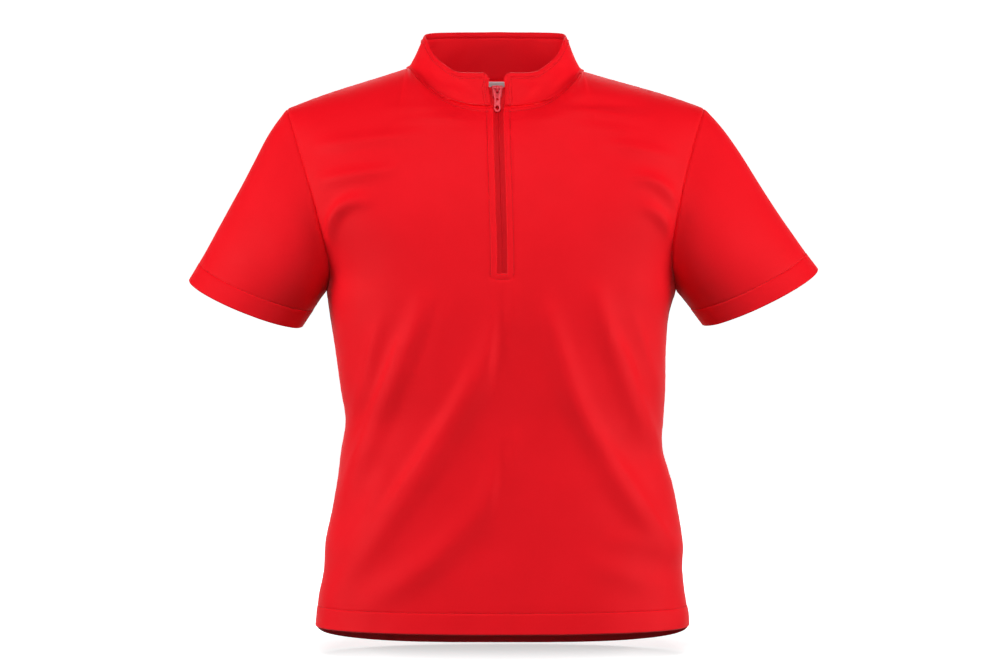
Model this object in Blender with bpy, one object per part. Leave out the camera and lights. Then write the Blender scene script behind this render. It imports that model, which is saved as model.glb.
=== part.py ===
"""Short-sleeved t-shirt with a stand collar and a short zip, filled out as worn, with no wearer.

The origin is the middle of the neck at shoulder height, where a wearer carries the shirt.
+Z is up and the front faces -Y. Sizes in this file are millimetres; make_object writes metres.

Each cloth piece is a thin wall. Its outer face is a grid of points worked out from the tables
below, and its inner face is that grid moved in by the cloth's thickness. Neighbouring pieces
share the points of their seam, and each stops short of it by half the seam gap.
"""
import math

import bmesh
import bpy
import numpy as np
from mathutils import Matrix

MM = 0.001

# ------------------------------------------------------------------------ driving sizes
CLOTH = 1.8                 # wall of a single layer with its ease
HEM_CLOTH = 2.8             # wall where the cloth is turned up
COLLAR_CLOTH = 2.6          # two layers and the seam between them
SEAM_GAP = 0.3
HEM_DEPTH = 22.0
SIDE_SEAM_Y = 4.0
HEM_Z = -607.4
BACK_HEM_DROP = 30.1
UNDERARM_Z = -239.0
YOKE_Z = -95.0              # above this height the panels round over to the shoulder
SHOULDER = {-1: (-228.0, 0.0, -40.5), 1: (229.5, 0.0, -40.0)}
NECK_SIDE = (95.5, -3.0)
NECK_SIDE_Z = {-1: 4.0, 1: 0.8}
SHOULDER_BOW = 3.0          # how far the shoulder seams arch above a straight line
FRONT_NECK = (4.0, -74.0, -43.7)
BACK_NECK = (2.0, 62.0, -4.0)
COLLAR_TOP = (76.5, 66.0, 58.0)     # half width, depth in front, depth behind
COLLAR_HOLLOW = 0.62        # below 1 the collar's sides are hollow between seam and edge
COLLAR_TOP_CENTRE = 1.8
COLLAR_END = 9.5            # half of the opening between the collar's top corners
COLLAR_CORNER = 6.0
ZIP_OPENING = 6.4           # half of the width left open for the zip
ZIP_BOTTOM_Z = -224.5
FRONT_ROUNDNESS = 2.3
BACK_ROUNDNESS = 2.35
NECK_SHARE = 0.46           # share of a panel's half width that ends on the neckline

FRONT, BACK = -1, 1
LEFT, RIGHT = -1, 1
RED = (0.84, 0.012, 0.02)
ZIP_RED = (0.60, 0.006, 0.016)
METAL_RED = (0.66, 0.03, 0.05)
LABEL_WHITE = (0.85, 0.80, 0.79)

# Sections of the body: x of each side and of the centre line, depth in front and behind.
TORSO = """
height  left right centre front back
-640    -198   214      8   116  119
-612    -197   213      8   115  118
-597    -196   213      8   114  117
-581    -194   210      9   113  116
-548    -188   206      9   112  114
-515    -186   206     10   111  112
-482    -179   201     10   111  109
-449    -173   194     10   111  106
-416    -169   183      9   111  103
-383    -164   185      9   112  101
-350    -169   187      8   115  101
-300    -176   188      8   119  103
-262    -182   192      8   123  106
-239    -185   199      8   124  108
-200    -185   199      8   124  110
-160    -185   199      7   121  111
-125    -185   199      6   114  110
 -95    -185   199      5   105  105
 -60    -185   199      4    88   92
"""

# The armhole seam: x on each side, y in front and behind.
ARMHOLE = """
height  left right front back
-239    -185   199     4    4
-235    -183   198    -9   15
-229    -181   196   -22   28
-221    -180   194   -34   40
-200    -182   192   -52   55
-179    -187   194   -63   64
-146    -195   200   -68   68
 -96    -210   212   -52   56
 -57    -222   224   -25   30
"""

# The collar's upper edge, by the angle round the neck from the middle of the front.
COLLAR_EDGE = """
angle  height
0        -6.5
20       -6.5
33       -5
49        6
62       17
74       31
90       39.5
105      43
140      47.5
180      49.5
"""

# Both ends of each cuff's long axis, its half depth and how much its front rim is lower.
CUFF = {
    LEFT: {"outer": (-336.0, -228.0), "inner": (-211.0, -279.0), "depth": 53.0, "dip": 10.5},
    RIGHT: {"outer": (355.0, -216.0), "inner": (228.0, -277.0), "depth": 53.0, "dip": 10.5},
}
SLEEVE_FULLNESS = 7.0
SLEEVE_BOW = {LEFT: 4.0, RIGHT: 4.8}    # how far the upper outline arches, most near the shoulder

# The largest folds: three points of each crest line seen from the front, its half width and
# how far it stands out (or, when negative, dips in).
FRONT_FOLDS = """
x1    z1     x2    z2     x3    z3   width  rise
-185  -84  -135   -80    -82   -74      8   4.0
-185 -123  -150  -118   -109  -112      8   4.6
-178 -186  -167  -155   -137  -146      7   6.0
 124  -86   154   -90    189   -97      8   3.4
 149 -121   176  -127    194  -148      7   5.4
 160 -152   178  -162    188  -181      7   4.2
-124 -275  -135  -321   -154  -395      9   3.8
-76  -254  -105  -334   -162  -463     12   7.0
 12  -248   -44  -385   -177  -571     15   7.6
 16  -406   -39  -502   -131  -573     16   5.6
-118 -440  -138  -481   -165  -525     10   2.8
 149 -269   164  -313    175  -359      9   3.4
 110 -248   137  -332    180  -431     12   7.0
 57  -271   110  -408    193  -524     13   6.8
 104 -531   142  -548    185  -565     12   1.8
 119 -511   155  -512    187  -529      9   1.2
"""

BACK_FOLDS = """
x1    z1     x2    z2     x3    z3   width  rise
-168  -96  -110   -84    -48   -80      9  -2.6
-172 -140  -128  -120    -80  -112      9  -3.4
-170 -178  -140  -150   -104  -138      9   3.0
 60   -78   118   -86    176  -98       9  -2.4
 92  -112   138  -122    178  -146      9  -3.6
 110 -136   148  -152    178  -182      9   3.0
-60  -240   -96  -350   -160  -452     13  -4.4
-96  -262  -128  -340   -164  -410     12   3.6
-14  -262   -46  -392   -150  -520     14   4.6
-20  -392   -70  -472   -156  -548     13  -3.8
 72  -246   112  -352    176  -462     13  -4.6
 108 -270   142  -346    180  -424     12   3.8
 34  -280    76  -404    176  -528     14   4.4
 40  -420    90  -488    168  -560     13  -3.4
 8   -150    12  -210     14  -290     16  -2.4
"""
FOLDS = {FRONT: FRONT_FOLDS, BACK: BACK_FOLDS}
FOLD_CLEARANCE = 16.0       # folds die out over this distance from a seam

# Rows and columns of the grids.
BODY_ROWS = 16
CHEST_ROWS = 10
SHOULDER_ROWS = 6
NECK_COLUMNS = 9
SHOULDER_COLUMNS = 8
COLLAR_ROWS = (0.0, 0.2, 0.42, 0.64, 0.85, 1.0)
COLLAR_CORNER_COLUMNS = (0.08, 0.2, 0.36, 0.6)
DENSE = 100                 # steps of the curves that the grids are read from


# ------------------------------------------------------------------------ tables
def table(text):
    """Turns a table with named columns into a dict of columns."""
    lines = [line.split() for line in text.strip().splitlines()]
    numbers = np.array(lines[1:], dtype=float)
    return {name: numbers[:, i] for i, name in enumerate(lines[0])}


def smooth(keys, values, at):
    """Reads a smooth curve through the values, with each slope set by its neighbours."""
    slopes = np.gradient(values, keys)
    at = np.clip(at, keys[0], keys[-1])
    i = np.clip(np.searchsorted(keys, at) - 1, 0, len(keys) - 2)
    span = keys[i + 1] - keys[i]
    t = (at - keys[i]) / span
    return ((2 * t**3 - 3 * t**2 + 1) * values[i] + (t**3 - 2 * t**2 + t) * span * slopes[i]
            + (3 * t**2 - 2 * t**3) * values[i + 1] + (t**3 - t**2) * span * slopes[i + 1])


torso = table(TORSO)
armhole = table(ARMHOLE)
collar_edge = table(COLLAR_EDGE)


def torso_at(column, z):
    return smooth(torso["height"], torso[column], z)


def armhole_at(column, z):
    return smooth(armhole["height"], armhole[column], z)


# ------------------------------------------------------------------------ curves
def unit(vectors):
    vectors = np.asarray(vectors, dtype=float)
    return vectors / np.linalg.norm(vectors, axis=-1, keepdims=True)


def ease(t):
    t = np.clip(t, 0.0, 1.0)
    return t * t * (3 - 2 * t)


def along(curve):
    """Distance of each point of a curve from its start."""
    steps = np.linalg.norm(np.diff(curve, axis=0), axis=1)
    return np.concatenate([[0.0], np.cumsum(steps)])


def resample(curve, marks, at):
    """Points of a curve at the values of a marking that grows along it."""
    return np.stack([np.interp(at, marks, curve[:, k]) for k in range(3)], axis=-1)


def side_edge(facing, hand, z):
    """x and y of a panel's side: the side seam, and above the underarm the armhole."""
    column = "left" if hand == LEFT else "right"
    if z <= UNDERARM_Z:
        return torso_at(column, z), SIDE_SEAM_Y
    return armhole_at(column, z), armhole_at("front" if facing == FRONT else "back", z)


def section(facing, hand, z):
    """Half of a level section, from the centre line to the side, evenly spaced."""
    centre = torso_at("centre", z)
    depth = torso_at("front" if facing == FRONT else "back", z) - facing * SIDE_SEAM_Y
    side_x, side_y = side_edge(facing, hand, z)
    power = FRONT_ROUNDNESS if facing == FRONT else BACK_ROUNDNESS
    share = min(abs(side_y - SIDE_SEAM_Y) / depth, 0.95)
    reach = abs(side_x - centre)
    half_width = reach / (1 - share**power) ** (1 / power)
    last = math.asin((reach / half_width) ** (power / 2))
    angle = np.linspace(0.0, last, 4 * DENSE + 1)
    x = centre + hand * half_width * np.sin(angle) ** (2 / power)
    y = SIDE_SEAM_Y + facing * depth * np.clip(np.cos(angle), 0.0, 1.0) ** (2 / power)
    curve = np.stack([x, y, np.full_like(x, z)], axis=1)
    marks = along(curve)
    return resample(curve, marks / marks[-1], np.linspace(0.0, 1.0, DENSE + 1))


def neckline(facing, hand, angle):
    """The neck seam; the angle is 0 on the centre line and 90 degrees at the shoulder."""
    x, y, z = FRONT_NECK if facing == FRONT else BACK_NECK
    rise = 3 if facing == FRONT else 2
    side = np.sin(angle)
    return np.stack([x * np.cos(angle) + hand * NECK_SIDE[0] * side,
                     y * np.cos(angle) + NECK_SIDE[1] * side,
                     z + (NECK_SIDE_Z[hand] - z) * side**rise], axis=-1)


def top_edge(facing, hand):
    """Neck seam and shoulder seam of half a panel, from the centre to the shoulder point."""
    share = np.linspace(0.0, 1.0, DENSE + 1)
    neck = neckline(facing, hand, np.clip(share / NECK_SHARE, 0, 1) * math.pi / 2)
    corner = np.array([hand * NECK_SIDE[0], NECK_SIDE[1], NECK_SIDE_Z[hand]])
    t = np.clip((share - NECK_SHARE) / (1 - NECK_SHARE), 0, 1)[:, None]
    shoulder = corner + (np.array(SHOULDER[hand]) - corner) * t
    shoulder[:, 2:] += SHOULDER_BOW * t * np.sin(math.pi * t)
    return np.where(share[:, None] <= NECK_SHARE, neck, shoulder)


def panel_curve(facing, hand, level):
    """Half a row of a panel. Level is a height up to the yoke, then the yoke plus 0 to 1."""
    if level <= 0:
        curve = section(facing, hand, level)
        if facing == BACK:
            share = np.linspace(0.0, 1.0, DENSE + 1)
            lowering = (YOKE_Z - level) / (YOKE_Z - HEM_Z)
            curve[:, 2] -= BACK_HEM_DROP * (1 - share**3) * lowering**3
        return curve
    low = section(facing, hand, YOKE_Z)
    slope = (low - section(facing, hand, YOKE_Z - 10.0)) / 10.0
    top = top_edge(facing, hand)
    share = np.linspace(0.0, 1.0, DENSE + 1)
    flat = (0.35 + 0.65 * ease(share / NECK_SHARE))[:, None]
    rise = (top - low)[:, 2:3]
    first = low + slope * rise * 0.5
    back_off = (low - top) * np.array([0.0, 1.0, 0.0]) * 0.55
    back_off = back_off + (low - top) * np.array([0.0, 0.0, 1.0]) * 0.55 * (1 - flat)
    second = top + back_off
    t = level
    return (low * (1 - t)**3 + 3 * first * t * (1 - t)**2
            + 3 * second * t * t * (1 - t) + top * t**3)


def panel_row(facing, hand, level):
    """The grid points of half a row, from the edge of the zip opening to the side."""
    curve = panel_curve(facing, hand, level)
    share = np.linspace(0.0, 1.0, DENSE + 1)
    opening = np.interp(ZIP_OPENING, along(curve), share)
    neck = opening + (NECK_SHARE - opening) * np.linspace(0, 1, NECK_COLUMNS + 1)
    shoulder = NECK_SHARE + (1 - NECK_SHARE) * np.linspace(0, 1, SHOULDER_COLUMNS + 1)
    return resample(curve, share, np.concatenate([neck, shoulder[1:]]))


def panel_levels():
    """Heights of the rows from the hem to the yoke, then 0 to 1 over the shoulder."""
    hem = [HEM_Z, HEM_Z + HEM_DEPTH]
    body = np.linspace(HEM_Z + HEM_DEPTH, UNDERARM_Z, BODY_ROWS + 1)[1:]
    chest = UNDERARM_Z + (YOKE_Z - UNDERARM_Z) * np.linspace(0, 1, CHEST_ROWS + 1)[1:] ** 1.5
    shoulder = np.linspace(0, 1, SHOULDER_ROWS + 1)[1:]
    levels = np.concatenate([hem, body, chest, shoulder])
    nearest = np.argmin(abs(levels - ZIP_BOTTOM_Z))
    levels[nearest] = ZIP_BOTTOM_Z
    return levels, nearest


# ------------------------------------------------------------------------ grids
def normals(grid, ring=False, flip=False):
    """Outward direction at each point of a grid of rows."""
    if ring:
        wide = np.concatenate([grid[:, -1:], grid, grid[:, :1]], axis=1)
        across = (wide[:, 2:] - wide[:, :-2])
    else:
        across = np.gradient(grid, axis=1)
    up = np.gradient(grid, axis=0)
    out = unit(np.cross(across, up))
    return -out if flip else out


def fold_height(points, folds):
    """How far the folds move each point, from its place as seen from the front."""
    moved = np.zeros(points.shape[:-1])
    t = np.linspace(0, 1, 41)
    for x1, z1, x2, z2, x3, z3, width, rise in zip(*folds.values()):
        control_x, control_z = 2 * x2 - (x1 + x3) / 2, 2 * z2 - (z1 + z3) / 2
        x = (1 - t)**2 * x1 + 2 * t * (1 - t) * control_x + t * t * x3
        z = (1 - t)**2 * z1 + 2 * t * (1 - t) * control_z + t * t * z3
        gap = np.hypot(points[..., 0:1] - x, points[..., 2:3] - z)
        nearest = np.argmin(gap, axis=-1)
        gap = np.min(gap, axis=-1)
        fade = np.sin(math.pi * np.clip(0.06 + 0.88 * t[nearest], 0, 1)) ** 0.6
        moved += rise * fade * np.exp(-(gap / width) ** 2)
    return moved


def panel_grid(facing):
    """Outer face of the front or back, with its folds, rows from the hem to the top."""
    levels, _ = panel_levels()
    rows = []
    for level in levels:
        left = panel_row(facing, LEFT, level)[::-1]
        right = panel_row(facing, RIGHT, level)
        rows.append(np.concatenate([left, right]))
    grid = np.array(rows)
    out = normals(grid, flip=facing == BACK)
    side = np.minimum(np.linalg.norm(grid - grid[:, :1], axis=-1),
                      np.linalg.norm(grid - grid[:, -1:], axis=-1))
    ends = np.minimum(np.linalg.norm(grid - grid[:1], axis=-1),
                      np.linalg.norm(grid - grid[-1:], axis=-1))
    centre = np.abs(grid[..., 0] - grid[:, [grid.shape[1] // 2], 0]) if facing == FRONT else 99.0
    fade = (ease(side / FOLD_CLEARANCE) * ease(ends / FOLD_CLEARANCE)
            * ease(centre / FOLD_CLEARANCE))
    return grid + out * (fold_height(grid, table(FOLDS[facing])) * fade)[..., None]


def armhole_loop(grids, hand):
    """Points of an armhole: down its front from the shoulder point, then up its back."""
    levels, _ = panel_levels()
    underarm = int(np.argmin(abs(levels - UNDERARM_Z)))
    column = 0 if hand == LEFT else -1
    front = grids[FRONT][underarm:, column][::-1]
    back = grids[BACK][underarm:, column]
    return np.concatenate([front, back[1:-1]]), len(front)


def sleeve_grid(grids, hand):
    """Outer face of a sleeve, rings from the cuff to the armhole."""
    loop, front_count = armhole_loop(grids, hand)
    closed = np.concatenate([loop, loop[:1]])
    distance = along(closed)
    bottom = distance[front_count - 1]
    angle = np.where(distance <= bottom, math.pi * distance / bottom,
                     math.pi * (1 + (distance - bottom) / (distance[-1] - bottom)))[:-1]
    cuff = CUFF[hand]
    outer, inner = np.array(cuff["outer"]), np.array(cuff["inner"])
    middle, half = (outer + inner) / 2, (outer - inner) / 2
    forward = np.sin(angle)
    rim = np.stack([middle[0] + half[0] * np.cos(angle), -cuff["depth"] * forward,
                    middle[1] + half[1] * np.cos(angle) - cuff["dip"] * forward], axis=1)
    length = np.linalg.norm(loop - rim, axis=1)
    rings = []
    for place in (0.0, 0.5, 1.0):
        rings.append(rim + (loop - rim) * (place * HEM_DEPTH / length)[:, None])
    hem_line = rings[-1]
    slope = unit(outer - np.array(SHOULDER[hand])[[0, 2]])
    arch = hand * np.array([-slope[1], slope[0]])
    for t in np.linspace(0, 1, 7)[1:]:
        ring = hem_line + (loop - hem_line) * t
        ring[:, 1] -= SLEEVE_FULLNESS * forward * math.sin(math.pi * t)
        ring[:, ::2] += (np.clip(np.cos(angle), 0, 1)[:, None] * arch
                         * SLEEVE_BOW[hand] * math.sin(math.pi * t**3))
        rings.append(ring)
    return np.array(rings)


def collar_grid():
    """Outer face of the collar, from its left front end round the back to its right one."""
    opening = math.asin(ZIP_OPENING / NECK_SIDE[0])
    shares = np.linspace(0, 1, NECK_COLUMNS + 1)
    angles = opening + (math.pi / 2 - opening) * shares
    top_first = math.asin(COLLAR_END / COLLAR_TOP[0])
    columns = []
    for hand, order in ((LEFT, 1), (RIGHT, -1)):
        half = [(neckline(FRONT, hand, angle),
                 collar_top(hand, top_first + (math.pi / 2 - top_first) * share))
                for angle, share in zip(angles, shares)]
        corner = [tuple(a + (b - a) * t for a, b in zip(*half[:2]))
                  for t in COLLAR_CORNER_COLUMNS]
        half[1:1] = corner
        for angle in angles[::-1][1:]:
            half.append((neckline(BACK, hand, angle), collar_top(hand, math.pi - angle)))
        columns += half[::order]
    base = np.array([column[0] for column in columns])
    top = np.array([column[1] for column in columns])
    for first, step in ((0, 1), (-1, -1)):
        for k in range(6):
            here = first + step * k
            gap = COLLAR_CORNER - np.linalg.norm(top[here] - top[first])
            if gap > 0:
                top[here, 2] -= COLLAR_CORNER - math.sqrt(COLLAR_CORNER**2 - gap**2)
    rows = []
    for t in COLLAR_ROWS:
        row = base + (top - base) * t
        row[:, :2] = base[:, :2] + (top - base)[:, :2] * t**COLLAR_HOLLOW
        rows.append(row)
    return np.array(rows)


def collar_top(hand, angle):
    """The collar's upper edge; the angle runs from 0 in front to 180 degrees behind."""
    half_width, front, back = COLLAR_TOP
    depth = front if angle < math.pi / 2 else back
    z = smooth(collar_edge["angle"], collar_edge["height"], math.degrees(angle))
    return np.array([COLLAR_TOP_CENTRE * abs(math.cos(angle)) + hand * half_width * math.sin(angle),
                     -depth * math.cos(angle), float(z)])


# ------------------------------------------------------------------------ walls
def seam_directions(*groups):
    """Outward direction at each point: the groups that meet at a seam point count alike."""
    shared = {}
    for group in groups:
        sums = {}
        for grid, out in group:
            for point, direction in zip(grid.reshape(-1, 3), out.reshape(-1, 3)):
                key = tuple(np.round(point, 3))
                sums[key] = sums.get(key, 0) + direction
        for key, direction in sums.items():
            shared[key] = shared.get(key, 0) + unit(direction)
    return shared


def inner_face(grid, out, thickness, shared):
    """The inner face of a wall, and how sharply each point's seam is folded (1 is flat).

    At a seam both neighbours go in along one direction, so that they never cross.
    """
    inner = np.empty_like(grid)
    sharpness = np.ones(grid.shape[:2])
    for i, j in np.ndindex(grid.shape[:2]):
        direction = unit(shared[tuple(np.round(grid[i, j], 3))])
        sharpness[i, j] = 1 / max(float(direction @ out[i, j]), 0.15)
        inner[i, j] = grid[i, j] - direction * thickness[i] * min(sharpness[i, j], 1.7)
    return inner, sharpness


def shorten(face, sharpness, ring=False, rows=(True, True)):
    """Moves the edges of a wall back from its seams, so that the seam gap stays open."""
    step = (sharpness * SEAM_GAP / 2)[..., None]
    if rows[0]:
        face[0] += unit(face[1] - face[0]) * step[0]
    if rows[1]:
        face[-1] += unit(face[-2] - face[-1]) * step[-1]
    if not ring:
        face[:, 0] += unit(face[:, 1] - face[:, 0]) * step[:, 0]
        face[:, -1] += unit(face[:, -2] - face[:, -1]) * step[:, -1]


def wall_faces(rows, columns, ring, flip, keep):
    """Faces of a closed wall over a grid: outer face, inner face and the edges between."""
    count = rows * columns
    outer = []
    for i in range(rows - 1):
        for j in range(columns if ring else columns - 1):
            if keep is not None and not keep(i, j):
                continue
            k = (j + 1) % columns
            face = [i * columns + j, i * columns + k, (i + 1) * columns + k,
                    (i + 1) * columns + j]
            outer.append(face[::-1] if flip else face)
    inner = [[v + count for v in face[::-1]] for face in outer]
    edges = {(face[k], face[(k + 1) % 4]) for face in outer for k in range(4)}
    rim = [[q, p, p + count, q + count] for p, q in sorted(edges) if (q, p) not in edges]
    return outer + inner + rim


# ------------------------------------------------------------------------ objects
def make_material(name, colour, roughness, metallic=0.0):
    material = bpy.data.materials.new(name)
    material.use_nodes = True
    shader = material.node_tree.nodes["Principled BSDF"]
    shader.inputs["Base Color"].default_value = (*colour, 1.0)
    shader.inputs["Roughness"].default_value = roughness
    shader.inputs["Metallic"].default_value = metallic
    return material


def make_object(name, points, faces, material, smooth_angle=40.0):
    mesh = bpy.data.meshes.new(name)
    mesh.from_pydata([tuple(p) for p in np.asarray(points) * MM], [], faces)
    mesh.materials.append(material)
    mesh.shade_smooth()
    mesh.set_sharp_from_angle(angle=math.radians(smooth_angle))
    mesh.update()
    thing = bpy.data.objects.new(name, mesh)
    bpy.context.scene.collection.objects.link(thing)
    return thing


def make_wall(name, outer, inner, material, ring=False, flip=False, keep=None):
    rows, columns = outer.shape[:2]
    points = np.concatenate([outer.reshape(-1, 3), inner.reshape(-1, 3)])
    faces = wall_faces(rows, columns, ring, flip, keep)
    return make_object(name, points, faces, material)


def prism(name, outline, low, high, material):
    """A plate: an outline in x and z, reaching from low to high along y."""
    count = len(outline)
    points = [(x, low, z) for x, z in outline] + [(x, high, z) for x, z in outline]
    faces = [list(range(count)), list(range(2 * count - 1, count - 1, -1))]
    faces += [[k, k + count, (k + 1) % count + count, (k + 1) % count] for k in range(count)]
    thing = make_object(name, points, faces, material, 30.0)
    tidy_faces(thing.data)
    return thing


def tidy_faces(mesh):
    work = bmesh.new()
    work.from_mesh(mesh)
    bmesh.ops.recalc_face_normals(work, faces=work.faces)
    work.to_mesh(mesh)
    work.free()


def side_prism(name, outline, half_width, material):
    """A bar: an outline in y and z, reaching half_width to each side along x."""
    thing = prism(name, [(y, z) for y, z in outline], -half_width, half_width, material)
    thing.data.transform(Matrix.Rotation(math.radians(90), 4, "Z"))
    return thing


def combine(target, other, operation):
    """Joins or cuts with a helper, which is hidden and shares the target's place."""
    other.parent = target
    other.hide_render = True
    other.display_type = "WIRE"
    modifier = target.modifiers.new(other.name, "BOOLEAN")
    modifier.operation = operation
    modifier.object = other
    modifier.solver = "EXACT"


def arc(centre, radius_x, radius_z, first, last, steps):
    angles = np.radians(np.linspace(first, last, steps + 1))
    return [(centre[0] + radius_x * math.cos(a), centre[1] + radius_z * math.sin(a))
            for a in angles]


# ------------------------------------------------------------------------ cloth pieces
def build_cloth():
    red = make_material("red_knit", RED, 0.62)
    levels, zip_row = panel_levels()
    grids = {FRONT: panel_grid(FRONT), BACK: panel_grid(BACK)}
    outs = {facing: normals(grids[facing], flip=facing == BACK) for facing in grids}
    sleeves = {hand: sleeve_grid(grids, hand) for hand in (LEFT, RIGHT)}
    flips = {hand: hand == RIGHT for hand in sleeves}
    sleeve_outs = {hand: normals(sleeves[hand], ring=True, flip=flips[hand])
                   for hand in sleeves}
    shared = seam_directions([(grids[k], outs[k]) for k in grids],
                             [(sleeves[k], sleeve_outs[k]) for k in sleeves])

    thickness = np.where(levels < HEM_Z + HEM_DEPTH * 0.9, HEM_CLOTH, CLOTH)
    middle = grids[FRONT].shape[1] // 2 - 1
    for facing, name in ((FRONT, "front"), (BACK, "back")):
        inner, sharpness = inner_face(grids[facing], outs[facing], thickness, shared)
        outer = grids[facing].copy()
        for face in (outer, inner):
            shorten(face, sharpness, rows=(False, True))
        keep = (lambda i, j: j != middle or i < zip_row) if facing == FRONT else None
        make_wall(name, outer, inner, red, flip=facing == BACK, keep=keep)

    for hand, name in ((LEFT, "sleeve_left"), (RIGHT, "sleeve_right")):
        grid = sleeves[hand]
        ring_thickness = np.where(np.arange(len(grid)) < 2, HEM_CLOTH, CLOTH)
        inner, sharpness = inner_face(grid, sleeve_outs[hand], ring_thickness, shared)
        outer = grid.copy()
        for face in (outer, inner):
            shorten(face, sharpness, ring=True, rows=(False, True))
        make_wall(name, outer, inner, red, ring=True, flip=flips[hand])

    collar = collar_grid()
    out = normals(collar)
    inner = collar - out * COLLAR_CLOTH
    for face in (collar, inner):
        face[0] += unit(face[1] - face[0]) * SEAM_GAP
    make_wall("collar", collar, inner, red)
    build_label()


def build_label():
    """A bare label behind the neck, hanging from the neck seam against the back's inside."""
    half_width, drop, gap, thickness = 20.0, 22.0, CLOTH + 2 * SEAM_GAP, 0.5
    levels = np.linspace(1.0, 0.3, 8)
    rows = []
    for level in levels:
        halves = []
        for hand in (LEFT, RIGHT):
            curve = panel_curve(BACK, hand, level)
            halves.append(resample(curve, along(curve), np.linspace(0, half_width, 4)))
        rows.append(np.concatenate([halves[0][::-1], halves[1][1:]]))
    grid = np.array(rows)
    fallen = along(grid[:, grid.shape[1] // 2])
    wanted = np.linspace(SEAM_GAP, drop, 5)
    grid = np.stack([resample(grid[:, j], fallen, wanted) for j in range(grid.shape[1])], axis=1)
    out = normals(grid)
    make_wall("neck_label", grid - out * gap, grid - out * (gap + thickness),
              make_material("label_satin", LABEL_WHITE, 0.5))


# ------------------------------------------------------------------------ zip
TAPE_OUTER = 10.6           # half width of the two tapes together
TAPE_THICKNESS = 0.7
TAPE_TAIL = 9.0             # tape that runs on below the opening, behind the front
COIL_HALF_WIDTH = 2.8
COIL_THICKNESS = 1.6
SLIDER_LOW, SLIDER_HIGH = 11.0, 24.8    # along the collar's front edge, from the neck seam
POST = 1.3
PLATE_FRONT, PLATE_BACK = -1.0, -2.6    # outwards from the collar's outer face
HINGE_HEIGHT, HINGE_OUT = 21.4, 0.9
TAPE_DEPTH = CLOTH + SEAM_GAP
TAPE_DEPTH_AT_COLLAR = COLLAR_CLOTH + SEAM_GAP
PULL_TILT = 14.0            # degrees the pull tab leans forward, down the chest
PULL_LENGTH = 27.4
PULL_THICKNESS = 1.5


def collar_front_line():
    """Foot of the collar on the centre line, its direction up and its outward direction."""
    foot = np.array(FRONT_NECK)
    top = collar_top(RIGHT, 0.0)
    up = unit(top - foot)
    out = unit(np.cross([1.0, 0.0, 0.0], up))
    return foot, up, out


def zip_line():
    """Centre line of the zip on the cloth's outer face, bottom to top, and outward directions."""
    levels, zip_row = panel_levels()
    points = [panel_curve(FRONT, RIGHT, level)[0] for level in levels[zip_row:-1]]
    below = panel_curve(FRONT, RIGHT, ZIP_BOTTOM_Z - TAPE_TAIL)[0]
    foot, up, out = collar_front_line()
    line = np.array([below] + points + [foot, foot + up * SLIDER_LOW,
                                        foot + up * (SLIDER_HIGH - POST - SEAM_GAP)])
    along_line = np.gradient(line, axis=0)
    outward = unit(np.cross(np.broadcast_to([1.0, 0.0, 0.0], line.shape), along_line))
    outward[-2:] = out
    return line, outward


def build_strip(name, line, outward, left, right, depth, thickness, material):
    """A flat strip beside the zip line: x from left to right, depth below the outer face."""
    grid = np.stack([line + np.array([left, 0, 0]), line + np.array([right, 0, 0])], axis=1)
    inward = outward[:, None, :]
    depth = np.broadcast_to(depth, len(line))[:, None, None]
    make_wall(name, grid - inward * depth, grid - inward * (depth + thickness), material)


def build_zip():
    tape = make_material("zip_tape", ZIP_RED, 0.7)
    metal = make_material("painted_zip", METAL_RED, 0.35)
    line, outward = zip_line()
    collar_share = ease((line[:, 2] - FRONT_NECK[2] + 8.0) / 8.0)
    depth = TAPE_DEPTH + (TAPE_DEPTH_AT_COLLAR - TAPE_DEPTH) * collar_share
    half_gap = SEAM_GAP / 2
    build_strip("zip_tape_left", line, outward, -TAPE_OUTER, -half_gap, depth,
                TAPE_THICKNESS, tape)
    build_strip("zip_tape_right", line, outward, half_gap, TAPE_OUTER, depth,
                TAPE_THICKNESS, tape)
    coil_depth = depth + TAPE_THICKNESS + SEAM_GAP
    build_strip("zip_coil", line[1:], outward[1:], -COIL_HALF_WIDTH, COIL_HALF_WIDTH,
                coil_depth[1:], COIL_THICKNESS, tape)
    build_slider(metal)
    build_pull(metal)


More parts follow.
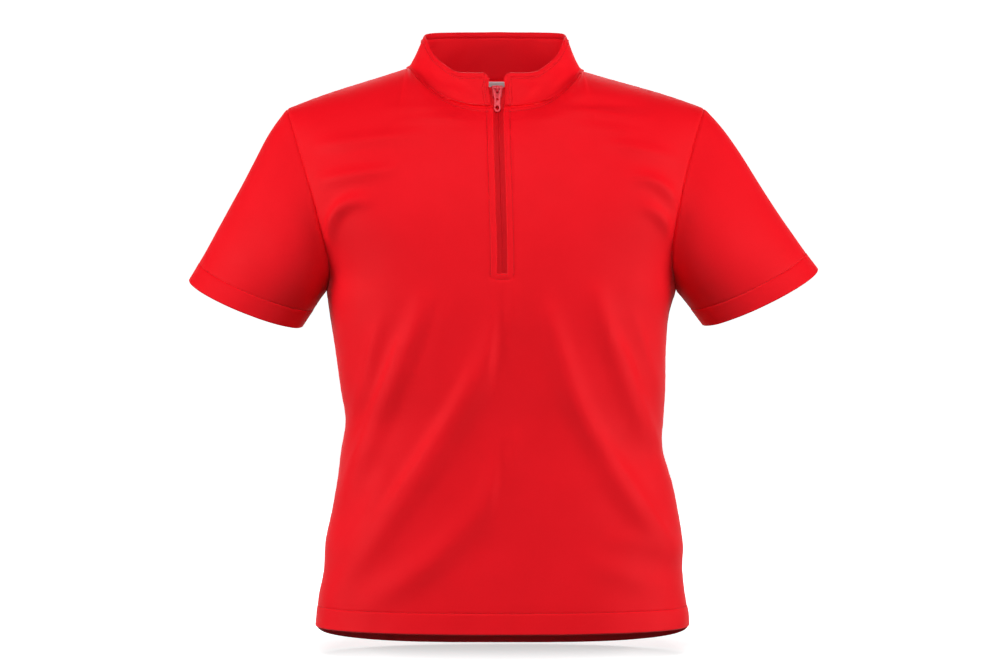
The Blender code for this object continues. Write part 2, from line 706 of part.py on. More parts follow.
def build_slider(metal):
    """Slider: a shield in front, a plate behind, the post that joins them and the bail."""
    foot, up, out = collar_front_line()
    tilt = math.atan2(up[1], up[2])
    middle = HINGE_HEIGHT
    top, bottom = SLIDER_HIGH - middle, SLIDER_LOW - middle
    shield = [(-4.2, bottom), (4.2, bottom), (4.9, bottom + 1.2), (6.2, top - 3.0),
              (5.6, top - 0.8), (3.6, top), (-3.6, top), (-5.6, top - 0.8),
              (-6.2, top - 3.0), (-4.9, bottom + 1.2)]
    rear_depth = -(TAPE_DEPTH_AT_COLLAR + TAPE_THICKNESS + COIL_THICKNESS + 2 * SEAM_GAP)
    slider = prism("zip_slider", shield, -PLATE_FRONT, -PLATE_BACK, metal)
    rear = prism("slider_rear", shield, -rear_depth, -rear_depth + 1.2, metal)
    post = prism("slider_post", [(-2.2, top - POST), (2.2, top - POST), (2.2, top - 0.1),
                                 (-2.2, top - 0.1)], -PLATE_FRONT + 0.4,
                 -rear_depth + 0.6, metal)
    bail_out = -(HINGE_OUT + 2.1)
    bail_in = -(HINGE_OUT + 1.1)
    seat = -PLATE_FRONT + 0.5
    bail = side_prism("slider_bail", [(seat, 2.7), (bail_in + 0.4, 2.7), (bail_out, 1.7),
                                      (bail_out, -3.8), (bail_in, -4.8), (seat, -4.8),
                                      (seat, -3.6), (bail_in, -3.2), (bail_in, 1.5),
                                      (seat, 1.5)], 1.1, metal)
    for helper in (rear, post, bail):
        combine(slider, helper, "UNION")
    place = foot + up * middle
    slider.location = tuple(place * MM)
    slider.rotation_euler = (-tilt, 0.0, 0.0)


def build_pull(metal):
    """Pull tab, hanging from the bail; its origin lies on the hinge."""
    foot, up, out = collar_front_line()
    hinge = foot + up * HINGE_HEIGHT + out * HINGE_OUT
    end = 3.5
    outline = [(-4.0, 1.0), (-4.6, 0.2), (-4.5, -2.0), (-3.3, -13.5)]
    outline += arc((0.0, -PULL_LENGTH + end), end + 0.1, end, 180, 360, 10)
    outline += [(3.3, -13.5), (4.5, -2.0), (4.6, 0.2), (4.0, 1.0)]
    pull = prism("zip_pull", outline, -PULL_THICKNESS / 2, PULL_THICKNESS / 2, metal)
    deep = PULL_THICKNESS
    window = prism("pull_window", [(-3.1, -0.8), (-1.0, -10.6), (1.0, -10.6), (3.1, -0.8)],
                   -deep, deep, metal)
    slot = prism("pull_slot", [(-1.4, -12.0), (-1.4, -14.6), (1.4, -14.6), (1.4, -12.0)],
                 -deep, deep, metal)
    hole = prism("pull_hole", arc((0.0, -PULL_LENGTH + 4.6), 2.0, 2.5, 0, 330, 11),
                 -deep, deep, metal)
    for helper in (window, slot, hole):
        combine(pull, helper, "DIFFERENCE")
    pull.location = tuple(hinge * MM)
    pull.rotation_euler = (-math.radians(PULL_TILT), 0.0, 0.0)


def main():
    for thing in list(bpy.data.objects):
        bpy.data.objects.remove(thing, do_unlink=True)
    build_cloth()
    build_zip()


main()
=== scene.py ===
"""Looks of the short-sleeved t-shirt with a stand collar and a short zip.

Each cloth piece is a thin shell on the form of its solid. It is worked out in millimetres from
the same sizes as the solid, on a finer grid, with its creases, seams, puckers and stitches.
"""
import math

import bmesh
import bpy
import numpy as np
from mathutils import Matrix, Vector


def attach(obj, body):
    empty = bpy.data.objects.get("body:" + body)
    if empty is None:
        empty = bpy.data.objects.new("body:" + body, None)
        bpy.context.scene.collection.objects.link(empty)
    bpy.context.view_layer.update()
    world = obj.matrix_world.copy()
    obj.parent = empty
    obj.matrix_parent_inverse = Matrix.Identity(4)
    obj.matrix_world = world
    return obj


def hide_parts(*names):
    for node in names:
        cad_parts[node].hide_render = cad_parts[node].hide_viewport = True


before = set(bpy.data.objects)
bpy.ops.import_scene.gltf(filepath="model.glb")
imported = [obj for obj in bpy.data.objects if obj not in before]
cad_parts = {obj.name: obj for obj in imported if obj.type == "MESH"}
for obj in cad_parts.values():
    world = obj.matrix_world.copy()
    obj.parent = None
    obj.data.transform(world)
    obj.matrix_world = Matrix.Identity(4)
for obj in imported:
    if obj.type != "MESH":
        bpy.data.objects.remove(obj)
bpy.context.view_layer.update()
MM = 0.001

# ------------------------------------------------------------------------ sizes of the solids
HEM_DEPTH = 22.0
SIDE_SEAM_Y = 4.0
HEM_Z = -607.4
BACK_HEM_DROP = 30.1
UNDERARM_Z = -239.0
YOKE_Z = -95.0
SHOULDER = {-1: (-228.0, 0.0, -40.5), 1: (229.5, 0.0, -40.0)}
NECK_SIDE = (95.5, -3.0)
NECK_SIDE_Z = {-1: 4.0, 1: 0.8}
SHOULDER_BOW = 3.0
FRONT_NECK = (4.0, -74.0, -43.7)
BACK_NECK = (2.0, 62.0, -4.0)
COLLAR_TOP = (76.5, 66.0, 58.0)
COLLAR_HOLLOW = 0.62
COLLAR_TOP_CENTRE = 1.8
COLLAR_END = 9.5
COLLAR_CORNER = 6.0
ZIP_OPENING = 6.4
ZIP_BOTTOM_Z = -224.5
FRONT_ROUNDNESS = 2.3
BACK_ROUNDNESS = 2.35
NECK_SHARE = 0.46
DENSE = 240

FRONT, BACK = -1, 1
LEFT, RIGHT = -1, 1

TORSO = """
height  left right centre front back
-640    -198   214      8   116  119
-612    -197   213      8   115  118
-597    -196   213      8   114  117
-581    -194   210      9   113  116
-548    -188   206      9   112  114
-515    -186   206     10   111  112
-482    -179   201     10   111  109
-449    -173   194     10   111  106
-416    -169   183      9   111  103
-383    -164   185      9   112  101
-350    -169   187      8   115  101
-300    -176   188      8   119  103
-262    -182   192      8   123  106
-239    -185   199      8   124  108
-200    -185   199      8   124  110
-160    -185   199      7   121  111
-125    -185   199      6   114  110
 -95    -185   199      5   105  105
 -60    -185   199      4    88   92
"""

ARMHOLE = """
height  left right front back
-239    -185   199     4    4
-235    -183   198    -9   15
-229    -181   196   -22   28
-221    -180   194   -34   40
-200    -182   192   -52   55
-179    -187   194   -63   64
-146    -195   200   -68   68
 -96    -210   212   -52   56
 -57    -222   224   -25   30
"""

COLLAR_EDGE = """
angle  height
0        -6.5
20       -6.5
33       -5
49        6
62       17
74       31
90       39.5
105      43
140      47.5
180      49.5
"""

CUFF = {
    LEFT: {"outer": (-336.0, -228.0), "inner": (-211.0, -279.0), "depth": 53.0, "dip": 10.5},
    RIGHT: {"outer": (355.0, -216.0), "inner": (228.0, -277.0), "depth": 53.0, "dip": 10.5},
}
SLEEVE_FULLNESS = 7.0
SLEEVE_BOW = {LEFT: 4.0, RIGHT: 4.8}    # how far the upper outline arches, most near the shoulder

# The largest folds, as in the solids: three points of each crest line seen from the front, its
# half width and how far it stands out (or, when negative, dips in).
FRONT_FOLDS = """
x1    z1     x2    z2     x3    z3   width  rise
-185  -84 -135   -80    -82   -74      8   4.0
-185 -123  -150  -118   -109  -112      8   4.6
-178 -186  -167  -155   -137  -146      7   6.0
 124  -86   154   -90    189   -97      8   3.4
 149 -121   176  -127    194  -148      7   5.4
 160 -152   178  -162    188  -181      7   4.2
-124 -275  -135  -321   -154  -395      9   3.8
-76  -254  -105  -334   -162  -463     12   7.0
 12  -248   -44  -385   -177  -571     15   7.6
 16  -406   -39  -502   -131  -573     16   5.6
-118 -440  -138  -481   -165  -525     10   2.8
 149 -269   164  -313    175  -359      9   3.4
 110 -248   137  -332    180  -431     12   7.0
 57  -271   110  -408    193  -524     13   6.8
 104 -531   142  -548    185  -565     12   1.8
 119 -511   155  -512    187  -529      9   1.2
"""

# Finer folds and the sharp crests of the larger ones.
FRONT_CREASES = """
x1    z1     x2    z2     x3    z3   width  rise
-118  -45   -86   -46    -56   -44      5   1.6
-106  -60   -67   -57    -31   -59      5   1.9
-155  -97  -133   -97   -108   -95      5.5 1.1
 76   -43   113   -39    165   -41      6.5 -2.4
 63   -45   104   -49    163   -57      5.5 2.0
 86   -64   118   -68    154   -71      5.5 1.3
 33   -58    59   -56     83   -56      5.5 1.3
-171 -158  -159  -143   -137  -138      4   0.9
-101 -293  -116  -335   -162  -450      5.5 2.0
 132 -295   148  -334    176  -408      5.5 1.9
-26  -329   -69  -407   -152  -521      7   1.9
 115 -398   153  -456    196  -520      7   1.9
-45  -244   -58  -284    -71  -324      9   1.4
 53  -244    65  -284     84  -329      9   1.4
-16  -433   -26  -475    -52  -516     12  -1.0
"""

# The collar's wrinkles beside the zip and at its sides.
COLLAR_CREASES = """
x1    z1     x2    z2     x3    z3   width  rise
-54   -22   -38   -29    -22   -39      3.2 -1.5
-46   -14   -32   -20    -16   -32      4.0  1.0
-72    -8   -62   -20    -48   -28      4.0 -0.9
 30   -32    37   -26     45   -19      3.2 -1.4
 38   -36    46   -31     54   -22      3.6  0.9
 70    -6    64   -17     54   -25      4.0 -0.8
"""

BACK_FOLDS = """
x1    z1     x2    z2     x3    z3   width  rise
-168  -96  -110   -84    -48   -80      9  -2.6
-172 -140  -128  -120    -80  -112      9  -3.4
-170 -178  -140  -150   -104  -138      9   3.0
 60   -78   118   -86    176  -98       9  -2.4
 92  -112   138  -122    178  -146      9  -3.6
 110 -136   148  -152    178  -182      9   3.0
-60  -240   -96  -350   -160  -452     13  -4.4
-96  -262  -128  -340   -164  -410     12   3.6
-14  -262   -46  -392   -150  -520     14   4.6
-20  -392   -70  -472   -156  -548     13  -3.8
 72  -246   112  -352    176  -462     13  -4.6
 108 -270   142  -346    180  -424     12   3.8
 34  -280    76  -404    176  -528     14   4.4
 40  -420    90  -488    168  -560     13  -3.4
 8   -150    12  -210     14  -290     16  -2.4
"""
FOLDS = {FRONT: FRONT_FOLDS, BACK: BACK_FOLDS}
FOLD_CLEARANCE = 16.0
CREASE_CLEARANCE = 11.0

# ------------------------------------------------------------------------ sizes of the looks
CLOTH = 1.0                 # one layer of knit
ZIP_EDGE_CLOTH = 1.8        # folded twice beside the zip
HEM_CLOTH = 2.0
COLLAR_CLOTH = 2.4
SEAM_GAP = 0.06
GRID_STEP = 4.0
SEAM_STOPS = (0.35, 0.8, 1.4, 2.2, 3.4, 5.4)
STITCH_STOPS = (-2.0, -1.1, -0.5, 0.0, 0.5, 1.1, 2.0)    # on both sides of a stitch line
NECK_STITCH = 6.5
ZIP_STITCH = 6.0
COLLAR_STITCH = 6.0
STITCH_PITCH, STITCH_LENGTH, STITCH_RADIUS, STITCH_LIFT = 2.8, 2.1, 0.26, 0.1
TUBE_SIDES = 6                      # of a stitch and of the zip's coil
TUBE_TURNS = np.arange(TUBE_SIDES) * 2 * math.pi / TUBE_SIDES


# ------------------------------------------------------------------------ tables and curves
def table(text):
    lines = [line.split() for line in text.strip().splitlines()]
    numbers = np.array(lines[1:], dtype=float)
    return {name: numbers[:, i] for i, name in enumerate(lines[0])}


def smooth(keys, values, at):
    slopes = np.gradient(values, keys)
    at = np.clip(at, keys[0], keys[-1])
    i = np.clip(np.searchsorted(keys, at) - 1, 0, len(keys) - 2)
    span = keys[i + 1] - keys[i]
    t = (at - keys[i]) / span
    return ((2 * t**3 - 3 * t**2 + 1) * values[i] + (t**3 - 2 * t**2 + t) * span * slopes[i]
            + (3 * t**2 - 2 * t**3) * values[i + 1] + (t**3 - t**2) * span * slopes[i + 1])


torso = table(TORSO)
armhole = table(ARMHOLE)
collar_edge = table(COLLAR_EDGE)


def unit(vectors):
    vectors = np.asarray(vectors, dtype=float)
    return vectors / np.maximum(np.linalg.norm(vectors, axis=-1, keepdims=True), 1e-9)


def ease(t):
    t = np.clip(t, 0.0, 1.0)
    return t * t * (3 - 2 * t)


def along(curve):
    steps = np.linalg.norm(np.diff(curve, axis=0), axis=1)
    return np.concatenate([[0.0], np.cumsum(steps)])


def resample(curve, marks, at):
    return np.stack([np.interp(at, marks, curve[:, k]) for k in range(3)], axis=-1)


def stops(first, last, step, *finer):
    """Places from first to last, at most a step apart, through the finer ones given."""
    keys = sorted({first, last, *[f for f in finer if first < f < last]})
    places = []
    for a, b in zip(keys, keys[1:]):
        places += list(np.linspace(a, b, max(1, math.ceil((b - a) / step - 1e-6)) + 1)[:-1])
    return np.array(places + [last])


def side_edge(facing, hand, z):
    column = "left" if hand == LEFT else "right"
    if z <= UNDERARM_Z:
        return smooth(torso["height"], torso[column], z), SIDE_SEAM_Y
    heights = armhole["height"]
    return (smooth(heights, armhole[column], z),
            smooth(heights, armhole["front" if facing == FRONT else "back"], z))


def section(facing, hand, z):
    """Half of a level section, from the centre line to the side, evenly spaced."""
    centre = smooth(torso["height"], torso["centre"], z)
    depth = smooth(torso["height"], torso["front" if facing == FRONT else "back"], z)
    depth = depth - facing * SIDE_SEAM_Y
    side_x, side_y = side_edge(facing, hand, z)
    power = FRONT_ROUNDNESS if facing == FRONT else BACK_ROUNDNESS
    share = min(abs(side_y - SIDE_SEAM_Y) / depth, 0.95)
    reach = abs(side_x - centre)
    half_width = reach / (1 - share**power) ** (1 / power)
    last = math.asin((reach / half_width) ** (power / 2))
    angle = np.linspace(0.0, last, 4 * DENSE + 1)
    x = centre + hand * half_width * np.sin(angle) ** (2 / power)
    y = SIDE_SEAM_Y + facing * depth * np.clip(np.cos(angle), 0.0, 1.0) ** (2 / power)
    curve = np.stack([x, y, np.full_like(x, z)], axis=1)
    marks = along(curve)
    return resample(curve, marks / marks[-1], np.linspace(0.0, 1.0, DENSE + 1))


def neckline(facing, hand, angle):
    x, y, z = FRONT_NECK if facing == FRONT else BACK_NECK
    rise = 3 if facing == FRONT else 2
    side = np.sin(angle)
    return np.stack([x * np.cos(angle) + hand * NECK_SIDE[0] * side,
                     y * np.cos(angle) + NECK_SIDE[1] * side,
                     z + (NECK_SIDE_Z[hand] - z) * side**rise], axis=-1)


def top_edge(facing, hand):
    share = np.linspace(0.0, 1.0, DENSE + 1)
    neck = neckline(facing, hand, np.clip(share / NECK_SHARE, 0, 1) * math.pi / 2)
    corner = np.array([hand * NECK_SIDE[0], NECK_SIDE[1], NECK_SIDE_Z[hand]])
    t = np.clip((share - NECK_SHARE) / (1 - NECK_SHARE), 0, 1)[:, None]
    shoulder = corner + (np.array(SHOULDER[hand]) - corner) * t
    shoulder[:, 2:] += SHOULDER_BOW * t * np.sin(math.pi * t)
    return np.where(share[:, None] <= NECK_SHARE, neck, shoulder)


def panel_curve(facing, hand, level):
    """Half a row of a panel. Level is a height up to the yoke, then the yoke plus 0 to 1."""
    share = np.linspace(0.0, 1.0, DENSE + 1)
    if level <= 0:
        curve = section(facing, hand, level)
        if facing == BACK:
            lowering = (YOKE_Z - level) / (YOKE_Z - HEM_Z)
            curve[:, 2] -= BACK_HEM_DROP * (1 - share**3) * lowering**3
        return curve
    low = section(facing, hand, YOKE_Z)
    slope = (low - section(facing, hand, YOKE_Z - 10.0)) / 10.0
    top = top_edge(facing, hand)
    flat = (0.35 + 0.65 * ease(share / NECK_SHARE))[:, None]
    first = low + slope * (top - low)[:, 2:3] * 0.5
    back_off = (low - top) * np.array([0.0, 1.0, 0.0]) * 0.55
    back_off = back_off + (low - top) * np.array([0.0, 0.0, 1.0]) * 0.55 * (1 - flat)
    second = top + back_off
    t = level
    return (low * (1 - t)**3 + 3 * first * t * (1 - t)**2
            + 3 * second * t * t * (1 - t) + top * t**3)


# ------------------------------------------------------------------------ fine grids
def panel_columns():
    """Places of the columns: beside the zip opening, on to the neck corner, on to the side."""
    zip_part, side_part = 108.0, 135.0      # usual lengths of the two parts of half a row
    neck = stops(0.0, 1.0, GRID_STEP / zip_part,
                 *[d / zip_part for d in (0.5, 1.2, *[ZIP_STITCH + s for s in STITCH_STOPS])],
                 *[1 - d / zip_part for d in (1.0, 2.4)])
    side = stops(0.0, 1.0, GRID_STEP / side_part,
                 *[1 - d / side_part for d in SEAM_STOPS], 1.0 / side_part, 2.4 / side_part)
    return neck, side


def panel_levels():
    """Heights of the rows from the hem to the yoke, then 0 to 1 over the shoulder."""
    top_speed = 150.0                       # how fast a row moves there, in mm for each 1 of level
    body = stops(HEM_Z, YOKE_Z, GRID_STEP,
                 *[HEM_Z + d for d in (0.4, 1.2, 2.6)],
                 *[HEM_Z + HEM_DEPTH + s for s in STITCH_STOPS], UNDERARM_Z - 3.0,
                 *[UNDERARM_Z + d for d in (0.0, 0.6, 1.4, 2.6, 4.2, 6.2, 8.6, 11.5, 15.0)],
                 *[ZIP_BOTTOM_Z + s for s in (-6.5, -6.0, -5.5, -2.2, -1.2, -0.5, 0.0, 0.5, 1.2)])
    shoulder = stops(0.0, 1.0, GRID_STEP / top_speed * 1.1,
                     *[1 - d / top_speed for d in SEAM_STOPS],
                     *[1 - (NECK_STITCH + s) / top_speed for s in STITCH_STOPS])[1:]
    return np.concatenate([body, shoulder])


def panel_base(facing):
    """Undisturbed outer face of the front or back, rows from the hem to the top."""
    neck_places, side_places = panel_columns()
    share = np.linspace(0.0, 1.0, DENSE + 1)
    rows = []
    for level in panel_levels():
        halves = []
        for hand in (LEFT, RIGHT):
            curve = panel_curve(facing, hand, level)
            opening = np.interp(ZIP_OPENING, along(curve), share)
            at = np.concatenate([opening * np.array([0.0, 0.4, 0.8]),
                                 opening + (NECK_SHARE - opening) * neck_places,
                                 NECK_SHARE + (1 - NECK_SHARE) * side_places[1:]])
            halves.append(resample(curve, share, at))
        rows.append(np.concatenate([halves[0][::-1], halves[1][1:]]))
    return eased_underarm(np.array(rows))


def eased_underarm(grid):
    """Rounds the bend that a panel takes level with the underarm, but not at its side edges."""
    reach, spread = 48.0, 15.0
    z = grid[:, MIDDLE, 2]
    place = run_length(grid, 1)
    side = np.minimum(place, place[:, -1:] - place)
    weights = np.exp(-((z[:, None] - z[None, :]) / spread) ** 2) * np.gradient(z)[None, :]
    weights /= weights.sum(axis=1, keepdims=True)
    eased = np.einsum("ab,bcd->acd", weights, grid[..., :2])
    amount = ease((reach - abs(z - UNDERARM_Z)) / spread)[:, None] * ease(side / 30.0)
    grid = grid.copy()
    grid[..., :2] += (eased - grid[..., :2]) * amount[..., None]
    return grid


MIDDLE = len(panel_columns()[0]) + len(panel_columns()[1]) + 1    # the centre line's column
OPENING_STEPS = 3           # columns from the centre line to the edge of the zip opening
NECK_END = OPENING_STEPS + len(panel_columns()[0]) - 1            # and on to the neck's corner


def normals(grid, ring=False, flip=False):
    if ring:
        wide = np.concatenate([grid[:, -1:], grid, grid[:, :1]], axis=1)
        across = wide[:, 2:] - wide[:, :-2]
    else:
        across = np.gradient(grid, axis=1)
    out = unit(np.cross(across, np.gradient(grid, axis=0)))
    return -out if flip else out


def run_length(grid, axis):
    """Distance of each grid point from the start of its row or column."""
    steps = np.linalg.norm(np.diff(grid, axis=axis), axis=-1)
    total = np.cumsum(steps, axis=axis)
    start = np.zeros_like(np.take(total, [0], axis=axis))
    return np.concatenate([start, total], axis=axis)


def sleeve_base(panels, hand):
    """Undisturbed outer face of a sleeve, rings from the cuff to the armhole."""
    levels = panel_levels()
    underarm = int(np.argmin(abs(levels - UNDERARM_Z)))
    column = 0 if hand == LEFT else -1
    front = panels[FRONT][underarm:, column][::-1]
    back = panels[BACK][underarm:, column]
    loop = np.concatenate([front, back[1:-1]])
    distance = along(np.concatenate([loop, loop[:1]]))
    bottom = distance[len(front) - 1]
    angle = np.where(distance <= bottom, math.pi * distance / bottom,
                     math.pi * (1 + (distance - bottom) / (distance[-1] - bottom)))[:-1]
    cuff = CUFF[hand]
    outer, inner = np.array(cuff["outer"]), np.array(cuff["inner"])
    middle, half = (outer + inner) / 2, (outer - inner) / 2
    forward = np.sin(angle)
    rim = np.stack([middle[0] + half[0] * np.cos(angle), -cuff["depth"] * forward,
                    middle[1] + half[1] * np.cos(angle) - cuff["dip"] * forward], axis=1)
    length = np.linalg.norm(loop - rim, axis=1)
    rings = []
    for place in stops(0.0, HEM_DEPTH, GRID_STEP, 0.4, 1.2, 2.6,
                       *[HEM_DEPTH + s for s in STITCH_STOPS]):
        rings.append(rim + (loop - rim) * (place / length)[:, None])
    hem_line = rings[-1]
    slope = unit(outer - np.array(SHOULDER[hand])[[0, 2]])
    arch = hand * np.array([-slope[1], slope[0]])
    long_side = 180.0
    for t in stops(0.0, 1.0, GRID_STEP / long_side, *[s / long_side for s in STITCH_STOPS],
                   *[1 - d / long_side for d in SEAM_STOPS])[1:]:
        ring = hem_line + (loop - hem_line) * t
        ring[:, 1] -= SLEEVE_FULLNESS * forward * math.sin(math.pi * t)
        ring[:, ::2] += (np.clip(np.cos(angle), 0, 1)[:, None] * arch
                         * SLEEVE_BOW[hand] * math.sin(math.pi * t**3))
        rings.append(ring)
    return np.array(rings)


def collar_top(hand, angle):
    half_width, front, back = COLLAR_TOP
    depth = np.where(angle < math.pi / 2, front, back)
    z = smooth(collar_edge["angle"], collar_edge["height"], np.degrees(angle))
    return np.stack([COLLAR_TOP_CENTRE * abs(np.cos(angle)) + hand * half_width * np.sin(angle),
                     -depth * np.cos(angle), z], axis=-1)


def collar_base():
    """Undisturbed outer face of the collar, columns from its left front end round to its right."""
    opening = math.asin(ZIP_OPENING / NECK_SIDE[0])
    quarter = 120.0
    shares = stops(0.0, 1.0, GRID_STEP / quarter,
                   *[d / quarter for d in (0.4, 0.9, 1.5, 2.2, 3.0, 4.0,
                                           *[COLLAR_STITCH + s for s in STITCH_STOPS])])
    angles = opening + (math.pi / 2 - opening) * shares
    top_first = math.asin(COLLAR_END / COLLAR_TOP[0])
    top_angles = top_first + (math.pi / 2 - top_first) * shares
    back_angles = opening + (math.pi / 2 - opening) * np.linspace(0, 1, int(quarter / 5))
    base, top = [], []
    for hand, order in ((LEFT, 1), (RIGHT, -1)):
        foot = np.concatenate([neckline(FRONT, hand, angles),
                               neckline(BACK, hand, back_angles[::-1][1:])])
        edge = np.concatenate([collar_top(hand, top_angles),
                               collar_top(hand, math.pi - back_angles[::-1][1:])])
        base.append(foot[::order])
        top.append(edge[::order])
    base, top = np.concatenate(base), np.concatenate(top)
    for end in (0, -1):
        gap = np.maximum(COLLAR_CORNER - np.linalg.norm(top - top[end], axis=1), 0.0)
        top[:, 2] -= COLLAR_CORNER - np.sqrt(COLLAR_CORNER**2 - gap**2)
    height = 50.0
    rows = []
    for t in stops(0.0, 1.0, GRID_STEP / height, *[d / height for d in SEAM_STOPS],
                   *[1 - (COLLAR_STITCH + s) / height for s in STITCH_STOPS],
                   1 - 0.5 / height, 1 - 1.2 / height, 1 - 2.4 / height):
        row = base + (top - base) * t
        row[:, :2] = base[:, :2] + (top - base)[:, :2] * t**COLLAR_HOLLOW
        rows.append(row)
    return np.array(rows)


# ------------------------------------------------------------------------ relief
def fold_height(points, folds):
    """How far the folds move each point, from its place as seen from the front."""
    moved = np.zeros(points.shape[:-1])
    t = np.linspace(0, 1, 61)
    for x1, z1, x2, z2, x3, z3, width, rise in zip(*folds.values()):
        control_x, control_z = 2 * x2 - (x1 + x3) / 2, 2 * z2 - (z1 + z3) / 2
        x = (1 - t)**2 * x1 + 2 * t * (1 - t) * control_x + t * t * x3
        z = (1 - t)**2 * z1 + 2 * t * (1 - t) * control_z + t * t * z3
        gap = np.hypot(points[..., 0:1] - x, points[..., 2:3] - z)
        nearest = np.argmin(gap, axis=-1)
        gap = np.min(gap, axis=-1)
        fade = np.sin(math.pi * np.clip(0.06 + 0.88 * t[nearest], 0, 1)) ** 0.6
        moved += rise * fade * np.exp(-(gap / width) ** 2)
    return moved


def bump(distance, width):
    return np.exp(-(distance / width) ** 2)


def ripple(place, length, phase=0.0):
    """An uneven wave along a seam, between about -1 and 1."""
    turn = 2 * math.pi * place / length + phase
    return (np.sin(turn) + 0.5 * np.sin(1.63 * turn + 1.9) + 0.35 * np.sin(0.57 * turn + 0.4)) / 1.6


def swell(points, phase=0.0):
    """The low unevenness of filled-out cloth, in mm."""
    x, z = points[..., 0], points[..., 2]
    return (0.45 * np.sin(x / 23 + 1.2 * np.sin(z / 61 + phase)) * np.sin(z / 41 + 0.7 + phase)
            + 0.30 * np.sin(x / 14 - z / 83 + 2.0 * phase) * np.sin(z / 29 + x / 57)
            + 0.12 * np.sin(x / 7.5 + z / 19 + phase) * np.sin(z / 12.5 - x / 31))


def seam_relief(distance, place, phase=0.0):
    """Beside a seam: its groove, the rise over the allowance inside, and small puckers."""
    return (-0.75 * bump(distance, 1.0) + 0.35 * bump(distance - 4.5, 3.6)
            + 0.16 * ripple(place, 13.0, phase) * bump(distance - 3.0, 5.0))


def stitch_relief(distance, place, phase=0.0, depth=0.5, pucker=0.22, spread=5.0):
    """Along a stitch line: its groove and the puckers that it draws in on both sides."""
    return (-depth * bump(distance, 0.8)
            + pucker * ripple(place, 8.5, phase) * bump(distance, spread))


def panel_relief(grid, facing):
    x = run_length(grid, 1)
    z = run_length(grid, 0)
    side = np.minimum(x, x[:, -1:] - x)
    top = z[-1:] - z
    seam = np.minimum(side, top)
    middle = x[:, [MIDDLE]]
    zip_edge = abs(x - middle) - ZIP_OPENING
    below = ZIP_BOTTOM_Z - grid[..., 2]
    end = np.hypot(np.maximum(zip_edge, 0.0), np.maximum(below, 0.0))
    clear = np.minimum(side, np.minimum(z, top))
    if facing == FRONT:
        clear = np.minimum(clear, abs(grid[..., 0] - grid[:, [MIDDLE], 0]))
    folds = fold_height(grid, table(FOLDS[facing])) * ease(clear / FOLD_CLEARANCE)
    if facing == FRONT:
        folds += fold_height(grid, table(FRONT_CREASES)) * ease(clear / CREASE_CLEARANCE)
    phase = 0.0 if facing == FRONT else 1.7
    hem = z - HEM_DEPTH
    columns = np.arange(grid.shape[1])
    on_neck = ease((NECK_END + 1.5 - abs(columns - MIDDLE)) / 3.0)[None, :]
    moved = folds + swell(grid, phase) * ease(clear / 26.0)
    moved += np.where(side < top, seam_relief(side, z, phase), seam_relief(top, x, phase))
    moved += 0.25 * ease(-hem / 1.2) + stitch_relief(hem, x, phase)
    moved += 0.30 * ripple(x, 47.0, phase) * bump(z, 14.0) * ease(side / 20.0)
    moved += on_neck * (stitch_relief(top - NECK_STITCH, x, phase, 0.9, 0.34, 5.5)
                        + 0.3 * bump(top, 1.0) + 0.45 * bump(top - NECK_STITCH / 2, 2.0)
                        + 0.4 * ripple(x, 17.0, phase + 0.8) * bump(top - 14.0, 9.0))
    if facing == FRONT:
        beside = ease((grid[..., 2] - ZIP_BOTTOM_Z + 9.0) / 4.0) * ease(top / 3.0)
        moved += (beside * stitch_relief(end - ZIP_STITCH, z, 0.6, 0.7, 0.2, 4.0)
                  + 0.35 * beside * bump(end - ZIP_STITCH / 2, 2.0)
                  + 0.3 * beside * ripple(z, 31.0, 2.2) * bump(end - 13.0, 8.0))
    return moved


def sleeve_relief(grid, hand):
    z = run_length(grid, 0)
    top = z[-1:] - z
    ring = np.concatenate([grid, grid[:, :1]], axis=1)
    place = run_length(ring, 1)[:, :-1]
    hem = z - HEM_DEPTH
    phase = 0.9 if hand == LEFT else 2.6
    clear = np.minimum(z, top)
    moved = swell(grid, phase) * ease(clear / 26.0) * 0.9
    moved += seam_relief(top, place, phase)
    moved += 0.25 * ease(-hem / 1.2) + stitch_relief(hem, place, phase)
    moved += 0.30 * ripple(place, 41.0, phase) * bump(z, 14.0)
    return moved


# ------------------------------------------------------------------------ shells
def mesh_object(name, points, faces, material, uv=None):
    mesh = bpy.data.meshes.new(name)
    mesh.from_pydata((np.asarray(points) * MM).tolist(), [], faces)
    mesh.shade_smooth()
    if uv is not None:
        index = np.empty(len(mesh.loops), dtype=np.int32)
        mesh.loops.foreach_get("vertex_index", index)
        layer = mesh.uv_layers.new(name="cloth")
        layer.data.foreach_set("uv", (np.asarray(uv)[index] * MM).ravel())
    mesh.materials.append(material)
    thing = bpy.data.objects.new(name, mesh)
    bpy.context.scene.collection.objects.link(thing)
    return thing


